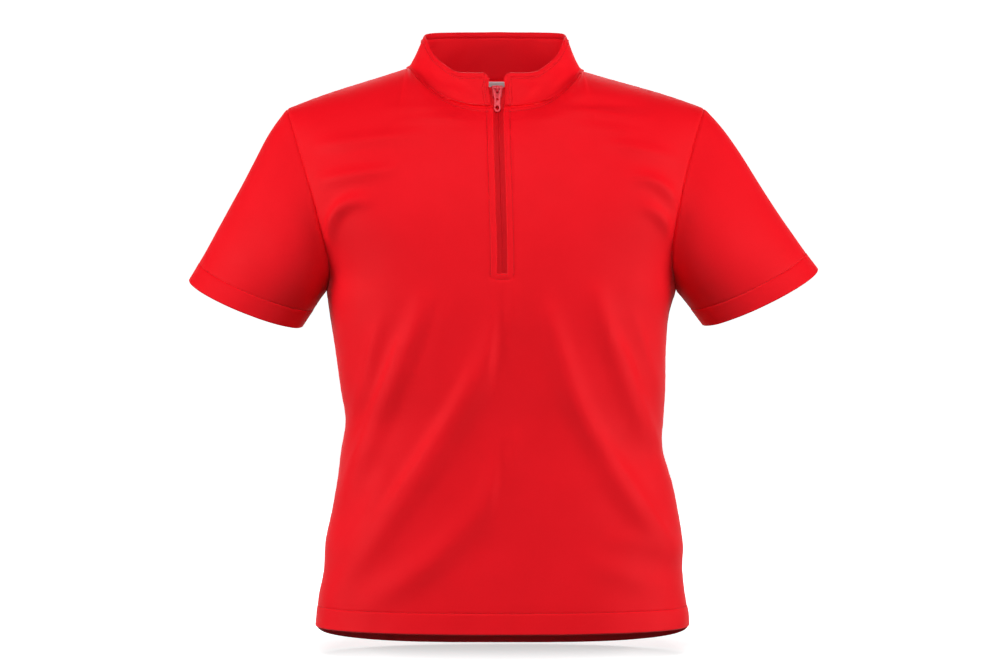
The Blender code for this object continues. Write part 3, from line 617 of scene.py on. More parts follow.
def shell(name, outer, out, thickness, material, ring=False, flip=False, keep=None, seam=None,
          uv=None):
    """A closed wall of cloth, with round edges where the cloth is open and flat ones at seams."""
    rows, columns = outer.shape[:2]
    count = rows * columns
    thickness = np.broadcast_to(thickness, (rows, columns))
    inner = (outer - out * thickness[..., None]).reshape(-1, 3)
    flat, out = outer.reshape(-1, 3), out.reshape(-1, 3)
    i, j = np.meshgrid(np.arange(rows - 1), np.arange(columns if ring else columns - 1),
                       indexing="ij")
    if keep is not None:
        i, j = i[keep], j[keep]
    i, j = i.ravel(), j.ravel()
    k = (j + 1) % columns
    quads = np.stack([i * columns + j, i * columns + k, (i + 1) * columns + k,
                      (i + 1) * columns + j], axis=1)
    if flip:
        quads = quads[:, ::-1]
    centres = flat[quads].mean(axis=1)
    owner = {}
    for face, quad in enumerate(quads.tolist()):
        for n in range(4):
            owner[(quad[n], quad[(n + 1) % 4])] = face
    rim = [(p, q, face) for (p, q), face in owner.items() if (q, p) not in owner]
    away = np.zeros((count, 3))
    for p, q, face in rim:
        push = (flat[p] + flat[q]) / 2 - centres[face]
        away[p] += push
        away[q] += push
    used = sorted({v for p, q, _ in rim for v in (p, q)})
    place = {v: n for n, v in enumerate(used)}
    away, outward = away[used], out[used]
    away = unit(away - outward * (away * outward).sum(axis=1, keepdims=True))
    round_edge = 0.45 * thickness.reshape(-1)[used]
    if seam is not None:
        round_edge = np.where(seam.reshape(-1)[used], 0.0, round_edge)
    middle = (flat[used] + inner[used]) / 2 + away * round_edge[:, None]
    points = np.concatenate([flat, inner, middle])
    faces = quads.tolist() + (quads[:, ::-1] + count).tolist()
    for p, q, _ in rim:
        a, b = 2 * count + place[p], 2 * count + place[q]
        faces += [[q, p, a, b], [b, a, p + count, q + count]]
    uv = np.zeros((rows, columns, 2)) if uv is None else uv
    uv = uv.reshape(-1, 2)
    uv = np.concatenate([uv, uv, uv[used]])
    kept = np.unique(np.concatenate([np.ravel(face) for face in faces]))
    renumber = np.zeros(len(points), dtype=int)
    renumber[kept] = np.arange(len(kept))
    faces = [renumber[face].tolist() for face in faces]
    return mesh_object(name, points[kept], faces, material, uv[kept])


def cloth_uv(grid):
    return np.stack([run_length(grid, 1), run_length(grid, 0)], axis=-1)


class Seams:
    """Shared outward directions, so that pieces meet along their seams after they are moved."""

    def __init__(self, *groups):
        self.shared = {}
        for group in groups:
            sums = {}
            for grid, out in group:
                edge = np.concatenate([grid[0], grid[-1], grid[:, 0], grid[:, -1]])
                ways = np.concatenate([out[0], out[-1], out[:, 0], out[:, -1]])
                for point, way in zip(edge, ways):
                    key = tuple(np.round(point, 3))
                    sums[key] = sums.get(key, 0) + way
            for key, way in sums.items():
                self.shared[key] = self.shared.get(key, 0) + unit(way)

    def blended(self, grid, out):
        """The directions of a grid, with the shared ones along its edges."""
        ways = out.copy()
        rows, columns = grid.shape[:2]
        for i, j in np.ndindex(rows, columns):
            if i in (0, rows - 1) or j in (0, columns - 1):
                way = self.shared.get(tuple(np.round(grid[i, j], 3)))
                if way is not None:
                    ways[i, j] = unit(way)
        return ways


def nearest_ways(points, others, ways):
    gap = np.linalg.norm(points[:, None] - others[None], axis=-1)
    return ways[np.argmin(gap, axis=1)]


# ------------------------------------------------------------------------ stitches
def contour(points, out, field, value):
    """Where a field crosses a value in each column of a grid: points and outward directions."""
    places, ways = [], []
    for j in range(points.shape[1]):
        f = field[:, j] - value
        cross = np.nonzero(f[:-1] * f[1:] <= 0)[0]
        if len(cross):
            i = cross[0]
            t = f[i] / (f[i] - f[i + 1]) if f[i] != f[i + 1] else 0.0
            places.append(points[i, j] * (1 - t) + points[i + 1, j] * t)
            ways.append(out[i, j] * (1 - t) + out[i + 1, j] * t)
    return np.array(places), unit(np.array(ways))


def tube_faces(first, rings):
    """Faces of a closed tube, by the number of its first point and of its rings."""
    faces = []
    for ring in range(first, first + (rings - 1) * TUBE_SIDES, TUBE_SIDES):
        for n in range(TUBE_SIDES):
            m = (n + 1) % TUBE_SIDES
            faces.append([ring + n, ring + TUBE_SIDES + n, ring + TUBE_SIDES + m, ring + m])
    last = first + (rings - 1) * TUBE_SIDES
    faces.append([first + n for n in range(TUBE_SIDES)])
    faces.append([last + n for n in reversed(range(TUBE_SIDES))])
    return faces


def stitches(name, lines, material):
    """Rows of short round stitches that dip into the cloth at both ends, as one mesh."""
    # Each ring's place along the stitch, its size and its rise, as shares of length and radius.
    profile = ((-0.5, 0.35, -1.5), (-0.32, 0.9, 0.1), (0.0, 1.0, 0.45), (0.32, 0.9, 0.1),
               (0.5, 0.35, -1.5))
    points, faces = [], []
    for places, ways in lines:
        marks = along(places)
        count = int(marks[-1] / STITCH_PITCH)
        at = (np.arange(count) + 0.5) * marks[-1] / max(count, 1)
        centre = resample(places, marks, at)
        outward = unit(resample(ways, marks, at))
        ahead = unit(resample(places, marks, at + 0.4) - resample(places, marks, at - 0.4))
        across = unit(np.cross(ahead, outward))
        for c, o, a, s in zip(centre, outward, ahead, across):
            faces += tube_faces(len(points), len(profile))
            for step, size, rise in profile:
                middle = c + a * step * STITCH_LENGTH + o * (STITCH_LIFT + rise * STITCH_RADIUS)
                points += [middle + (s * math.cos(turn) + o * math.sin(turn))
                           * STITCH_RADIUS * size for turn in TUBE_TURNS]
    thing = mesh_object(name, points, faces, material)
    finish_piece(thing)
    return thing


def finish_piece(thing, body="root"):
    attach(thing, body)


# ------------------------------------------------------------------------ materials
class Nodes:
    """Short calls for a material's nodes."""

    def __init__(self, name, roughness, metallic=0.0, specular=0.5):
        self.material = bpy.data.materials.new(name)
        self.material.use_nodes = True
        self.tree = self.material.node_tree
        self.shader = self.tree.nodes["Principled BSDF"]
        self.set("Roughness", roughness)
        self.set("Metallic", metallic)
        self.set("Specular IOR Level", specular)

    def set(self, name, value):
        self.shader.inputs[name].default_value = value

    def add(self, kind, **settings):
        node = self.tree.nodes.new("ShaderNode" + kind)
        for key, value in settings.items():
            setattr(node, key, value)
        return node

    def link(self, source, target):
        self.tree.links.new(source, target)

    def math(self, operation, a, b=None, c=None):
        node = self.add("Math", operation=operation)
        for slot_index, value in enumerate((a, b, c)):
            if value is None:
                continue
            if hasattr(value, "links"):
                self.link(value, node.inputs[slot_index])
            else:
                node.inputs[slot_index].default_value = value
        return node.outputs[0]

    def noise(self, scale, detail=2.0, vector=None):
        node = self.add("TexNoise")
        node.inputs["Scale"].default_value = scale
        node.inputs["Detail"].default_value = detail
        self.link(vector or self.add("TexCoord").outputs["Object"], node.inputs["Vector"])
        return node.outputs["Fac"]

    def colour(self, fac, low, high, low_at=0.3, high_at=0.7):
        node = self.add("ValToRGB")
        node.color_ramp.elements[0].position = low_at
        node.color_ramp.elements[1].position = high_at
        node.color_ramp.elements[0].color = (*low, 1.0)
        node.color_ramp.elements[1].color = (*high, 1.0)
        self.link(fac, node.inputs["Fac"])
        self.link(node.outputs["Color"], self.shader.inputs["Base Color"])

    def bump(self, height, distance, strength):
        node = self.add("Bump")
        node.inputs["Distance"].default_value = distance
        node.inputs["Strength"].default_value = strength
        self.link(height, node.inputs["Height"])
        self.link(node.outputs["Normal"], self.shader.inputs["Normal"])


def knit(name, low, high, roughness=0.62, wale=0.0011, course=0.0009):
    """Fine sports knit: columns of small V loops, a soft mottle and a faint sheen."""
    m = Nodes(name, roughness, specular=0.08)
    m.set("Sheen Weight", 0.12)
    m.set("Sheen Roughness", 0.22)
    m.set("Sheen Tint", (1.0, 0.75, 0.75, 1.0))
    split = m.add("SeparateXYZ")
    m.link(m.add("UVMap", uv_map="cloth").outputs["UV"], split.inputs[0])
    column = m.math("MULTIPLY", split.outputs[0], math.pi / wale)
    loop = m.math("ABSOLUTE", m.math("SINE", column))
    row = m.math("MULTIPLY_ADD", split.outputs[1], 2 * math.pi / course,
                 m.math("MULTIPLY", loop, 2.2))
    height = m.math("MULTIPLY_ADD", m.math("SINE", row), 0.22, loop)
    m.bump(height, 0.00012, 0.22)
    mottle = m.math("MULTIPLY_ADD", m.noise(900.0, 2.0), 0.45,
                    m.math("MULTIPLY", m.noise(16.0, 3.0), 0.55))
    m.colour(mottle, low, high)
    rough = m.math("MULTIPLY_ADD", m.noise(30.0, 2.0), 0.12, roughness - 0.06)
    m.link(rough, m.shader.inputs["Roughness"])
    return m.material


def woven(name, low, high, roughness=0.6, rib=0.0009, weft=0.0005, strength=0.35):
    """Narrow woven tape: fine lengthwise ribs crossed by the weft, with painted shade in the hollows
    between them.
    """
    m = Nodes(name, roughness, specular=0.08)
    split = m.add("SeparateXYZ")
    m.link(m.add("UVMap", uv_map="cloth").outputs["UV"], split.inputs[0])
    ribs = m.math("SINE", m.math("MULTIPLY", split.outputs[0], 2 * math.pi / rib))
    cross = m.math("SINE", m.math("MULTIPLY", split.outputs[1], 2 * math.pi / weft))
    height = m.math("MULTIPLY", m.math("MULTIPLY_ADD", ribs, 0.5, 0.5),
                    m.math("MULTIPLY_ADD", cross, 0.3, 0.7))
    m.bump(height, 0.0002, strength)
    # Painted shade: the colour follows the height, darker in the hollows of the weave.
    m.colour(height, low, high, 0.0, 1.0)
    return m.material


def thread(name, low, high):
    m = Nodes(name, 0.5, specular=0.25)
    m.colour(m.noise(600.0, 2.0), low, high)
    m.bump(m.noise(2500.0, 1.0), 0.0001, 0.3)
    return m.material


def enamel(name, low, high, roughness=0.35):
    """Painted zip metal: even colour, slightly uneven gloss."""
    m = Nodes(name, roughness, specular=0.22)
    m.colour(m.noise(120.0, 3.0), low, high)
    m.link(m.math("MULTIPLY_ADD", m.noise(260.0, 2.0), 0.15, roughness - 0.07),
           m.shader.inputs["Roughness"])
    m.bump(m.noise(500.0, 2.0), 0.00008, 0.1)
    return m.material


# ------------------------------------------------------------------------ cloth pieces
def build_cloth(red, sewing, label_cloth):
    panels = {facing: panel_base(facing) for facing in (FRONT, BACK)}
    outs = {facing: normals(panels[facing], flip=facing == BACK) for facing in panels}
    sleeves = {hand: sleeve_base(panels, hand) for hand in (LEFT, RIGHT)}
    sleeve_outs = {hand: normals(sleeves[hand], ring=True, flip=hand == RIGHT)
                   for hand in sleeves}
    seams = Seams([(panels[k], outs[k]) for k in panels],
                  [(sleeves[k], sleeve_outs[k]) for k in sleeves])
    collar = collar_base()
    collar_out = normals(collar)

    pieces = {}
    levels = panel_levels()
    for facing, name in ((FRONT, "front"), (BACK, "back")):
        base = panels[facing]
        way = seams.blended(base, outs[facing])
        neck = slice(MIDDLE - NECK_END, MIDDLE + NECK_END + 1)
        way[-1, neck] = unit(way[-1, neck] + nearest_ways(base[-1, neck], collar[0],
                                                          collar_out[0]))
        grid = base + way * panel_relief(base, facing)[..., None]
        out = normals(grid, flip=facing == BACK)
        for edge in (np.s_[-1], np.s_[:, 0], np.s_[:, -1]):
            out[edge] = way[edge]
        z = run_length(base, 0)
        zip_edge = abs(run_length(base, 1) - run_length(base, 1)[:, [MIDDLE]]) - ZIP_OPENING
        thick = hemmed(z)
        keep = None
        if facing == FRONT:
            near_zip = ease((9.0 - zip_edge) / 2.0) * ease((base[..., 2] - ZIP_BOTTOM_Z + 10) / 3)
            thick = np.maximum(thick, CLOTH + (ZIP_EDGE_CLOTH - CLOTH) * near_zip)
            row = int(np.argmin(abs(levels - ZIP_BOTTOM_Z)))
            rows, columns = base.shape[:2]
            keep = np.ones((rows - 1, columns - 1), dtype=bool)
            keep[row:, MIDDLE - OPENING_STEPS:MIDDLE + OPENING_STEPS] = False
        seam = np.zeros(base.shape[:2], dtype=bool)
        seam[:, 0] = seam[:, -1] = seam[-1] = True
        grid = pull_back(grid, sides=True)
        pieces[name] = shell(name + "_cloth", grid, out, thick, red, flip=facing == BACK,
                             keep=keep, seam=seam, uv=cloth_uv(base))
        x = run_length(base, 1)
        hem = contour(grid, out, z, HEM_DEPTH)
        top = (z[-1:] - z)[::-1]
        neck_line = contour(grid[::-1, neck], out[::-1, neck], top[:, neck], NECK_STITCH)
        lines = [hem]
        if facing == FRONT:
            lines += zip_lines(grid, out, base, levels)
            half = len(neck_line[0]) // 2
            lines += [tuple(part[:half - OPENING_STEPS] for part in neck_line),
                      tuple(part[half + OPENING_STEPS + 1:] for part in neck_line)]
        else:
            lines += [neck_line]
        pieces[name + "_stitches"] = stitches(name + "_stitches", lines, sewing)

    for hand, name in ((LEFT, "sleeve_left"), (RIGHT, "sleeve_right")):
        base = sleeves[hand]
        way = seams.blended(base, sleeve_outs[hand])
        grid = base + way * sleeve_relief(base, hand)[..., None]
        out = normals(grid, ring=True, flip=hand == RIGHT)
        out[-1] = way[-1]
        z = run_length(base, 0)
        thick = hemmed(z)
        seam = np.zeros(base.shape[:2], dtype=bool)
        seam[-1] = True
        grid = pull_back(grid, sides=False)
        pieces[name] = shell(name + "_cloth", grid, out, thick, red, ring=True,
                             flip=hand == RIGHT, seam=seam, uv=cloth_uv(base))
        places, ways = contour(grid, out, z, HEM_DEPTH)
        line = (np.concatenate([places, places[:1]]), np.concatenate([ways, ways[:1]]))
        pieces[name + "_stitches"] = stitches(name + "_stitches", [line], sewing)

    build_collar(pieces, collar, collar_out, panels, outs, red, sewing)
    pieces["label"] = build_label(label_cloth)
    return pieces


def hemmed(height):
    """Thickness of the cloth, by its height above the lower edge: doubled in the hem."""
    return CLOTH + (HEM_CLOTH - CLOTH) * ease((HEM_DEPTH - height) / 2.0)


def pull_back(grid, sides):
    """Opens a hair's breadth at the upper seam, and at the side seams where there are any."""
    grid = grid.copy()
    grid[-1] += unit(grid[-2] - grid[-1]) * SEAM_GAP / 2
    if sides:
        grid[:, 0] += unit(grid[:, 1] - grid[:, 0]) * SEAM_GAP / 2
        grid[:, -1] += unit(grid[:, -2] - grid[:, -1]) * SEAM_GAP / 2
    return grid


def zip_lines(grid, out, base, levels):
    """Stitch lines on both sides of the zip and across below it."""
    x = run_length(base, 1)
    zip_edge = abs(x - x[:, [MIDDLE]]) - ZIP_OPENING
    first = int(np.argmin(abs(levels - (ZIP_BOTTOM_Z - 1.0))))
    last = int(np.argmin(abs(levels - 0.95)))
    lines = []
    for half in (slice(MIDDLE, None), slice(MIDDLE, None, -1)):
        part = [a[first:last, half].swapaxes(0, 1) for a in (grid, out, zip_edge)]
        lines.append(contour(part[0], part[1], part[2], ZIP_STITCH))
    for drop, reach in ((1.2, 7.0), (6.0, 10.0)):
        row = int(np.argmin(abs(levels - (ZIP_BOTTOM_Z - drop))))
        near = np.nonzero(abs(x[row] - x[row, MIDDLE]) < reach)[0]
        lines.append((grid[row, near], out[row, near]))
    return lines


def build_collar(pieces, base, out, panels, panel_outs, red, sewing):
    neck_points, neck_ways = [], []
    neck = slice(MIDDLE - NECK_END, MIDDLE + NECK_END + 1)
    for facing in (FRONT, BACK):
        neck_points.append(panels[facing][-1, neck])
        neck_ways.append(panel_outs[facing][-1, neck])
    way = out.copy()
    way[0] = unit(out[0] + nearest_ways(base[0], np.concatenate(neck_points),
                                        np.concatenate(neck_ways)))
    x, z = run_length(base, 1), run_length(base, 0)
    end = np.minimum(x, x[:, -1:] - x)
    top = z[-1:] - z
    edge = -np.log(np.exp(-end / 2.5) + np.exp(-top / 2.5)) * 2.5
    front_part = ease((20.0 - base[..., 1]) / 20.0) * ease(np.minimum(edge - 2.0, z) / 5.0)
    relief = (seam_relief(z, x, 0.3) + 0.3 * bump(z, 1.0)
              + stitch_relief(edge - COLLAR_STITCH, x + z, 1.1, 0.85, 0.3, 4.5) * ease(z / 3.0)
              + fold_height(base, table(COLLAR_CREASES)) * front_part
              + 0.3 * bump(edge - 3.0, 2.2)
              + 0.35 * swell(base, 0.5) * ease(np.minimum(edge, z) / 12.0)
              + 0.5 * ripple(x, 36.0, 1.0) * bump(z - 26.0, 14.0))
    grid = base + way * relief[..., None]
    new_out = normals(grid)
    new_out[0] = way[0]
    inner_relief = -0.45 * bump(edge - COLLAR_STITCH, 0.8) + 0.3 * ripple(x, 41.0, 2.0) * bump(
        z - 24.0, 15.0)
    thick = COLLAR_CLOTH - 0.5 * bump(edge, 1.2) + inner_relief
    seam = np.zeros(base.shape[:2], dtype=bool)
    seam[0] = True
    grid[0] += unit(grid[1] - grid[0]) * SEAM_GAP
    pieces["collar"] = shell("collar_cloth", grid, new_out, thick, red, seam=seam,
                             uv=cloth_uv(base))
    lines = []
    for surface, ways in ((grid, new_out), (grid - new_out * thick[..., None], -new_out)):
        places, directions = contour(surface[::-1], ways[::-1], edge[::-1], COLLAR_STITCH)
        ends = []
        for columns in (slice(0, base.shape[1] // 4), slice(None, -base.shape[1] // 4, -1)):
            part = [a[:, columns].swapaxes(0, 1) for a in (surface, ways, edge)]
            line = contour(part[0], part[1], part[2], COLLAR_STITCH)
            ends.append(line)
        left, right = ends
        lines += [left, right]
        inside = (np.min(np.linalg.norm(places[:, None] - left[0][None], axis=-1), axis=1) > 1.5) & (
            np.min(np.linalg.norm(places[:, None] - right[0][None], axis=-1), axis=1) > 1.5)
        lines.append((places[inside], directions[inside]))
    pieces["collar_stitches"] = stitches("collar_stitches", lines, sewing)


def build_label(material):
    """The bare label behind the neck."""
    half_width, drop, gap, thickness = 20.0, 22.0, 2.4, 0.4
    rows = []
    for level in np.linspace(1.0, 0.3, 24):
        halves = []
        for hand in (LEFT, RIGHT):
            curve = panel_curve(BACK, hand, level)
            halves.append(resample(curve, along(curve), np.linspace(0, half_width, 12)))
        rows.append(np.concatenate([halves[0][::-1], halves[1][1:]]))
    grid = np.array(rows)
    fallen = along(grid[:, grid.shape[1] // 2])
    wanted = np.linspace(0.3, drop, 16)
    grid = np.stack([resample(grid[:, j], fallen, wanted) for j in range(grid.shape[1])], axis=1)
    out = normals(grid)
    surface = grid - out * gap
    return shell("label_cloth", surface, out, thickness, material, uv=cloth_uv(surface))


# ------------------------------------------------------------------------ zip
TAPE_THICKNESS = 0.7
TAPE_TAIL = 9.0
TAPE_DEPTH = 2.1            # below the cloth's outer face
TAPE_DEPTH_AT_COLLAR = 2.9
COIL_THICKNESS = 1.6
COIL_PITCH = 1.5
COIL_WIRE = (0.5, 0.26)     # half height and half thickness of the flattened wire
SLIDER_LOW, SLIDER_HIGH = 11.0, 24.8
POST = 1.3
PLATE_FRONT, PLATE_BACK = -1.0, -2.6
HINGE_HEIGHT, HINGE_OUT = 21.4, 0.9
PULL_TILT = 14.0
PULL_LENGTH = 27.4
PULL_THICKNESS = 1.5


def collar_front_line():
    foot = np.array(FRONT_NECK)
    up = unit(collar_top(RIGHT, np.array(0.0)) - foot)
    return foot, up, unit(np.cross([1.0, 0.0, 0.0], up))


def zip_line():
    """Centre line of the zip on the cloth's outer face, bottom to top, and outward directions."""
    levels = [z for z in panel_levels() if z >= ZIP_BOTTOM_Z][:-1:2]
    points = [panel_curve(FRONT, RIGHT, level)[0] for level in levels]
    below = panel_curve(FRONT, RIGHT, ZIP_BOTTOM_Z - TAPE_TAIL)[0]
    foot, up, out = collar_front_line()
    line = np.array([below] + points + [foot + up * h for h in (
        2.0, 5.0, 8.0, SLIDER_LOW, 15.0, 19.0, SLIDER_HIGH - POST - 0.3)])
    line = resample(line, along(line), np.linspace(0, along(line)[-1], 110))
    ahead = np.gradient(line, axis=0)
    outward = unit(np.cross(np.broadcast_to([1.0, 0.0, 0.0], line.shape), ahead))
    for _ in range(6):
        outward[1:-1] = unit(outward[:-2] + 2 * outward[1:-1] + outward[2:])
    return line, outward


def strip(name, line, outward, places, depth, thickness, material):
    """A flat strip beside the zip line. Places: columns of x, and how far each stands forward."""
    x = np.array([place[0] for place in places])
    rise = np.array([place[1] for place in places])
    grid = line[:, None, :] + x[None, :, None] * np.array([1.0, 0.0, 0.0])
    out = np.repeat(outward[:, None, :], len(x), axis=1)
    grid = grid + out * (rise[None, :] - depth[:, None])[..., None]
    flip = np.cross(grid[0, 1] - grid[0, 0], grid[1, 0] - grid[0, 0]) @ out[0, 0] < 0
    uv = np.stack([np.broadcast_to(x[None, :], grid.shape[:2]),
                   np.broadcast_to(along(line)[:, None], grid.shape[:2])], axis=-1)
    return shell(name, grid, out, thickness, material, flip=flip, uv=uv)


def build_tapes(line, outward, depth, tape):
    profile = ((0.15, -0.42), (0.22, -0.16), (0.42, -0.04), (0.8, 0.0), (1.6, 0.0), (2.1, 0.0),
               (2.35, -0.12), (2.6, 0.0), (3.2, 0.0), (4.2, 0.0), (5.4, 0.0), (5.7, -0.1),
               (6.0, 0.0), (7.0, 0.0), (8.5, 0.0), (9.6, 0.0), (10.1, 0.05), (10.6, -0.1))
    made = []
    for hand, name in ((LEFT, "zip_tape_left"), (RIGHT, "zip_tape_right")):
        places = [(hand * x, rise) for x, rise in profile]
        if hand == LEFT:
            places = places[::-1]
        made.append(strip(name + "_woven", line, outward, places, depth,
                          TAPE_THICKNESS - 0.1, tape))
    return made


def build_coil(line, outward, depth, material):
    """The nylon coil behind the tapes: interlocked loops from both sides."""
    marks = along(line)
    start = TAPE_TAIL
    count = int((marks[-1] - start) / COIL_PITCH)
    points, faces = [], []
    deep = depth + TAPE_THICKNESS + 0.3 + COIL_THICKNESS / 2
    for k in range(count):
        hand = LEFT if k % 2 else RIGHT
        at = start + (k + 0.5) * COIL_PITCH
        centre = resample(line, marks, np.array([at]))[0]
        out = unit(resample(outward, marks, np.array([at])))[0]
        up = unit(np.cross(out, [1.0, 0.0, 0.0]))
        low = np.interp(at, marks, deep)
        loop = [(2.55, 0.45), (2.0, 0.5), (1.0, 0.5), (0.0, 0.48), (-0.75, 0.3), (-1.0, 0.0),
                (-0.75, -0.3), (0.0, -0.48), (1.0, -0.5), (2.0, -0.5), (2.55, -0.45)]
        path = np.array([centre + np.array([1.0, 0, 0]) * hand * a - out * (low - b)
                         for a, b in loop])
        ahead = unit(np.gradient(path, axis=0))
        faces += tube_faces(len(points), len(path))
        for place, way in zip(path, ahead):
            side = unit(np.cross(way, up))
            points += [place + up * math.cos(turn) * COIL_WIRE[0] + side * math.sin(turn)
                       * COIL_WIRE[1] for turn in TUBE_TURNS]
    return mesh_object("zip_coil_loops", points, faces, material)


def arc(centre, radius_x, radius_z, first, last, steps):
    angles = np.radians(np.linspace(first, last, steps + 1))
    return [(centre[0] + radius_x * math.cos(a), centre[1] + radius_z * math.sin(a))
            for a in angles]


def plate(name, outline, holes, low, high, bevel, material):
    """A plate with holes and rounded edges: outlines in x and z, reaching from low to high in y."""
    work = bmesh.new()
    edges = []
    for loop in [outline] + holes:
        corners = [work.verts.new((x, low, z)) for x, z in loop]
        edges += [work.edges.new((corners[n], corners[(n + 1) % len(corners)]))
                  for n in range(len(corners))]
    bmesh.ops.triangle_fill(work, edges=edges, use_beauty=True)
    bmesh.ops.dissolve_limit(work, angle_limit=0.01, verts=work.verts, edges=[
        e for e in work.edges if len(e.link_faces) == 2])
    made = bmesh.ops.extrude_face_region(work, geom=work.faces[:])["geom"]
    bmesh.ops.translate(work, vec=(0, high - low, 0),
                        verts=[g for g in made if isinstance(g, bmesh.types.BMVert)])
    bmesh.ops.recalc_face_normals(work, faces=work.faces)
    sharp = [e for e in work.edges if len(e.link_faces) == 2 and abs(e.calc_face_angle()) > 1.2]
    bmesh.ops.bevel(work, geom=sharp, offset=bevel, segments=3, profile=0.5, affect="EDGES",
                    clamp_overlap=True)
    bmesh.ops.scale(work, vec=(MM, MM, MM), verts=work.verts)
    mesh = bpy.data.meshes.new(name)
    work.to_mesh(mesh)
    work.free()
    mesh.shade_smooth()
    mesh.set_sharp_from_angle(angle=math.radians(35))
    mesh.materials.append(material)
    thing = bpy.data.objects.new(name, mesh)
    bpy.context.scene.collection.objects.link(thing)
    return thing


def place_piece(thing, matrix):
    thing.data.transform(matrix)
    thing.data.update()


def build_slider(metal):
    """Slider: shield in front, plate behind, the post between them and the raised bail."""
    foot, up, out = collar_front_line()
    tilt = math.atan2(up[1], up[2])
    middle = HINGE_HEIGHT
    top, bottom = SLIDER_HIGH - middle, SLIDER_LOW - middle
    shield = arc((-3.2, bottom + 1.2), 1.6, 1.2, 180, 270, 3) + arc(
        (3.2, bottom + 1.2), 1.6, 1.2, 270, 360, 3) + [(5.6, -0.6), (6.2, top - 3.2)] + arc(
        (4.4, top - 1.6), 1.8, 1.6, 0, 90, 4) + arc((-4.4, top - 1.6), 1.8, 1.6, 90, 180, 4) + [
        (-6.2, top - 3.2), (-5.6, -0.6)]
    rear_depth = -(TAPE_DEPTH_AT_COLLAR + TAPE_THICKNESS + COIL_THICKNESS + 0.6)
    matrix = (Matrix.Translation(Vector(foot + up * middle) * MM)
              @ Matrix.Rotation(-tilt, 4, "X"))
    parts = [plate("slider_shield", shield, [], -PLATE_FRONT, -PLATE_BACK, 0.45, metal),
             plate("slider_rear", shield, [], -rear_depth, -rear_depth + 1.2, 0.35, metal),
             plate("slider_post", [(-2.2, top - POST), (2.2, top - POST), (2.2, top - 0.1),
                                   (-2.2, top - 0.1)], [], -PLATE_FRONT + 0.4,
                   -rear_depth + 0.6, 0.2, metal)]
    bail_out, bail_in = -(HINGE_OUT + 2.1), -(HINGE_OUT + 1.1)
    seat = -PLATE_FRONT + 0.3
    outline = [(seat, 3.0), (bail_in + 1.0, 2.9), (bail_out + 0.3, 2.2), (bail_out, 1.2),
               (bail_out, -3.4), (bail_out + 0.4, -4.4), (bail_in + 0.4, -5.0), (seat, -5.2),
               (seat, -3.6), (bail_in + 0.3, -3.4), (bail_in, -3.0), (bail_in, 1.2),
               (bail_in + 0.3, 1.5), (seat, 1.5)]
    bail = plate("slider_bail", outline, [], -1.1, 1.1, 0.28, metal)
    place_piece(bail, Matrix.Rotation(math.radians(90), 4, "Z"))
    ridge = plate("slider_ridge", [(-1.9, 3.2), (-1.3, -5.6), (1.3, -5.6), (1.9, 3.2)], [],
                  -PLATE_FRONT - 0.35, -PLATE_FRONT + 0.3, 0.25, metal)
    parts += [bail, ridge]
    slider = join("zip_slider_body", parts)
    place_piece(slider, matrix)
    return slider


def join(name, parts):
    work = bmesh.new()
    for part in parts:
        work.from_mesh(part.data)
    mesh = bpy.data.meshes.new(name)
    work.to_mesh(mesh)
    work.free()
    mesh.materials.append(parts[0].data.materials[0])
    for part in parts:
        bpy.data.objects.remove(part, do_unlink=True)
    thing = bpy.data.objects.new(name, mesh)
    bpy.context.scene.collection.objects.link(thing)
    return thing


def build_pull(metal):
    """Pull tab: forked round the bail, a short slot, an oval hole and a round lower end."""
    foot, up, out = collar_front_line()
    hinge = foot + up * HINGE_HEIGHT + out * HINGE_OUT
    end = 3.5
    outline = arc((-3.6, 0.3), 1.0, 0.7, 90, 180, 4) + [
        (-4.5, -2.0), (-3.9, -8.0), (-3.3, -13.5), (-3.3, -18.0)]
    outline += arc((0.0, -PULL_LENGTH + end), end + 0.1, end, 180, 360, 20)
    outline += [(3.3, -18.0), (3.3, -13.5), (3.9, -8.0), (4.5, -2.0)] + arc(
        (3.6, 0.3), 1.0, 0.7, 0, 90, 4)
    window = [(-3.1, -0.8), (-2.1, -5.6), (-1.15, -10.3), (-0.7, -10.8), (0.7, -10.8),
              (1.15, -10.3), (2.1, -5.6), (3.1, -0.8)]
    slot = arc((0.0, -12.9), 1.4, 0.9, 0, 180, 8) + arc((0.0, -14.1), 1.4, 0.6, 180, 360, 8)
    hole = arc((0.0, -PULL_LENGTH + 4.6), 2.0, 2.5, 0, 345, 23)
    pull = plate("zip_pull_tab", outline, [window, slot, hole], -PULL_THICKNESS / 2,
                 PULL_THICKNESS / 2, 0.38, metal)
    place_piece(pull, Matrix.Translation(Vector(hinge) * MM)
                @ Matrix.Rotation(-math.radians(PULL_TILT), 4, "X"))
    return pull


def build_zip(tape, metal, pull_metal, coil):
    line, outward = zip_line()
    collar_share = ease((line[:, 2] - FRONT_NECK[2] + 8.0) / 8.0)
    depth = TAPE_DEPTH + (TAPE_DEPTH_AT_COLLAR - TAPE_DEPTH) * collar_share
    left, right = build_tapes(line, outward, depth, tape)
    return {"tape_left": left, "tape_right": right,
            "coil": build_coil(line, outward, depth, coil),
            "slider": build_slider(metal), "pull": build_pull(pull_metal)}


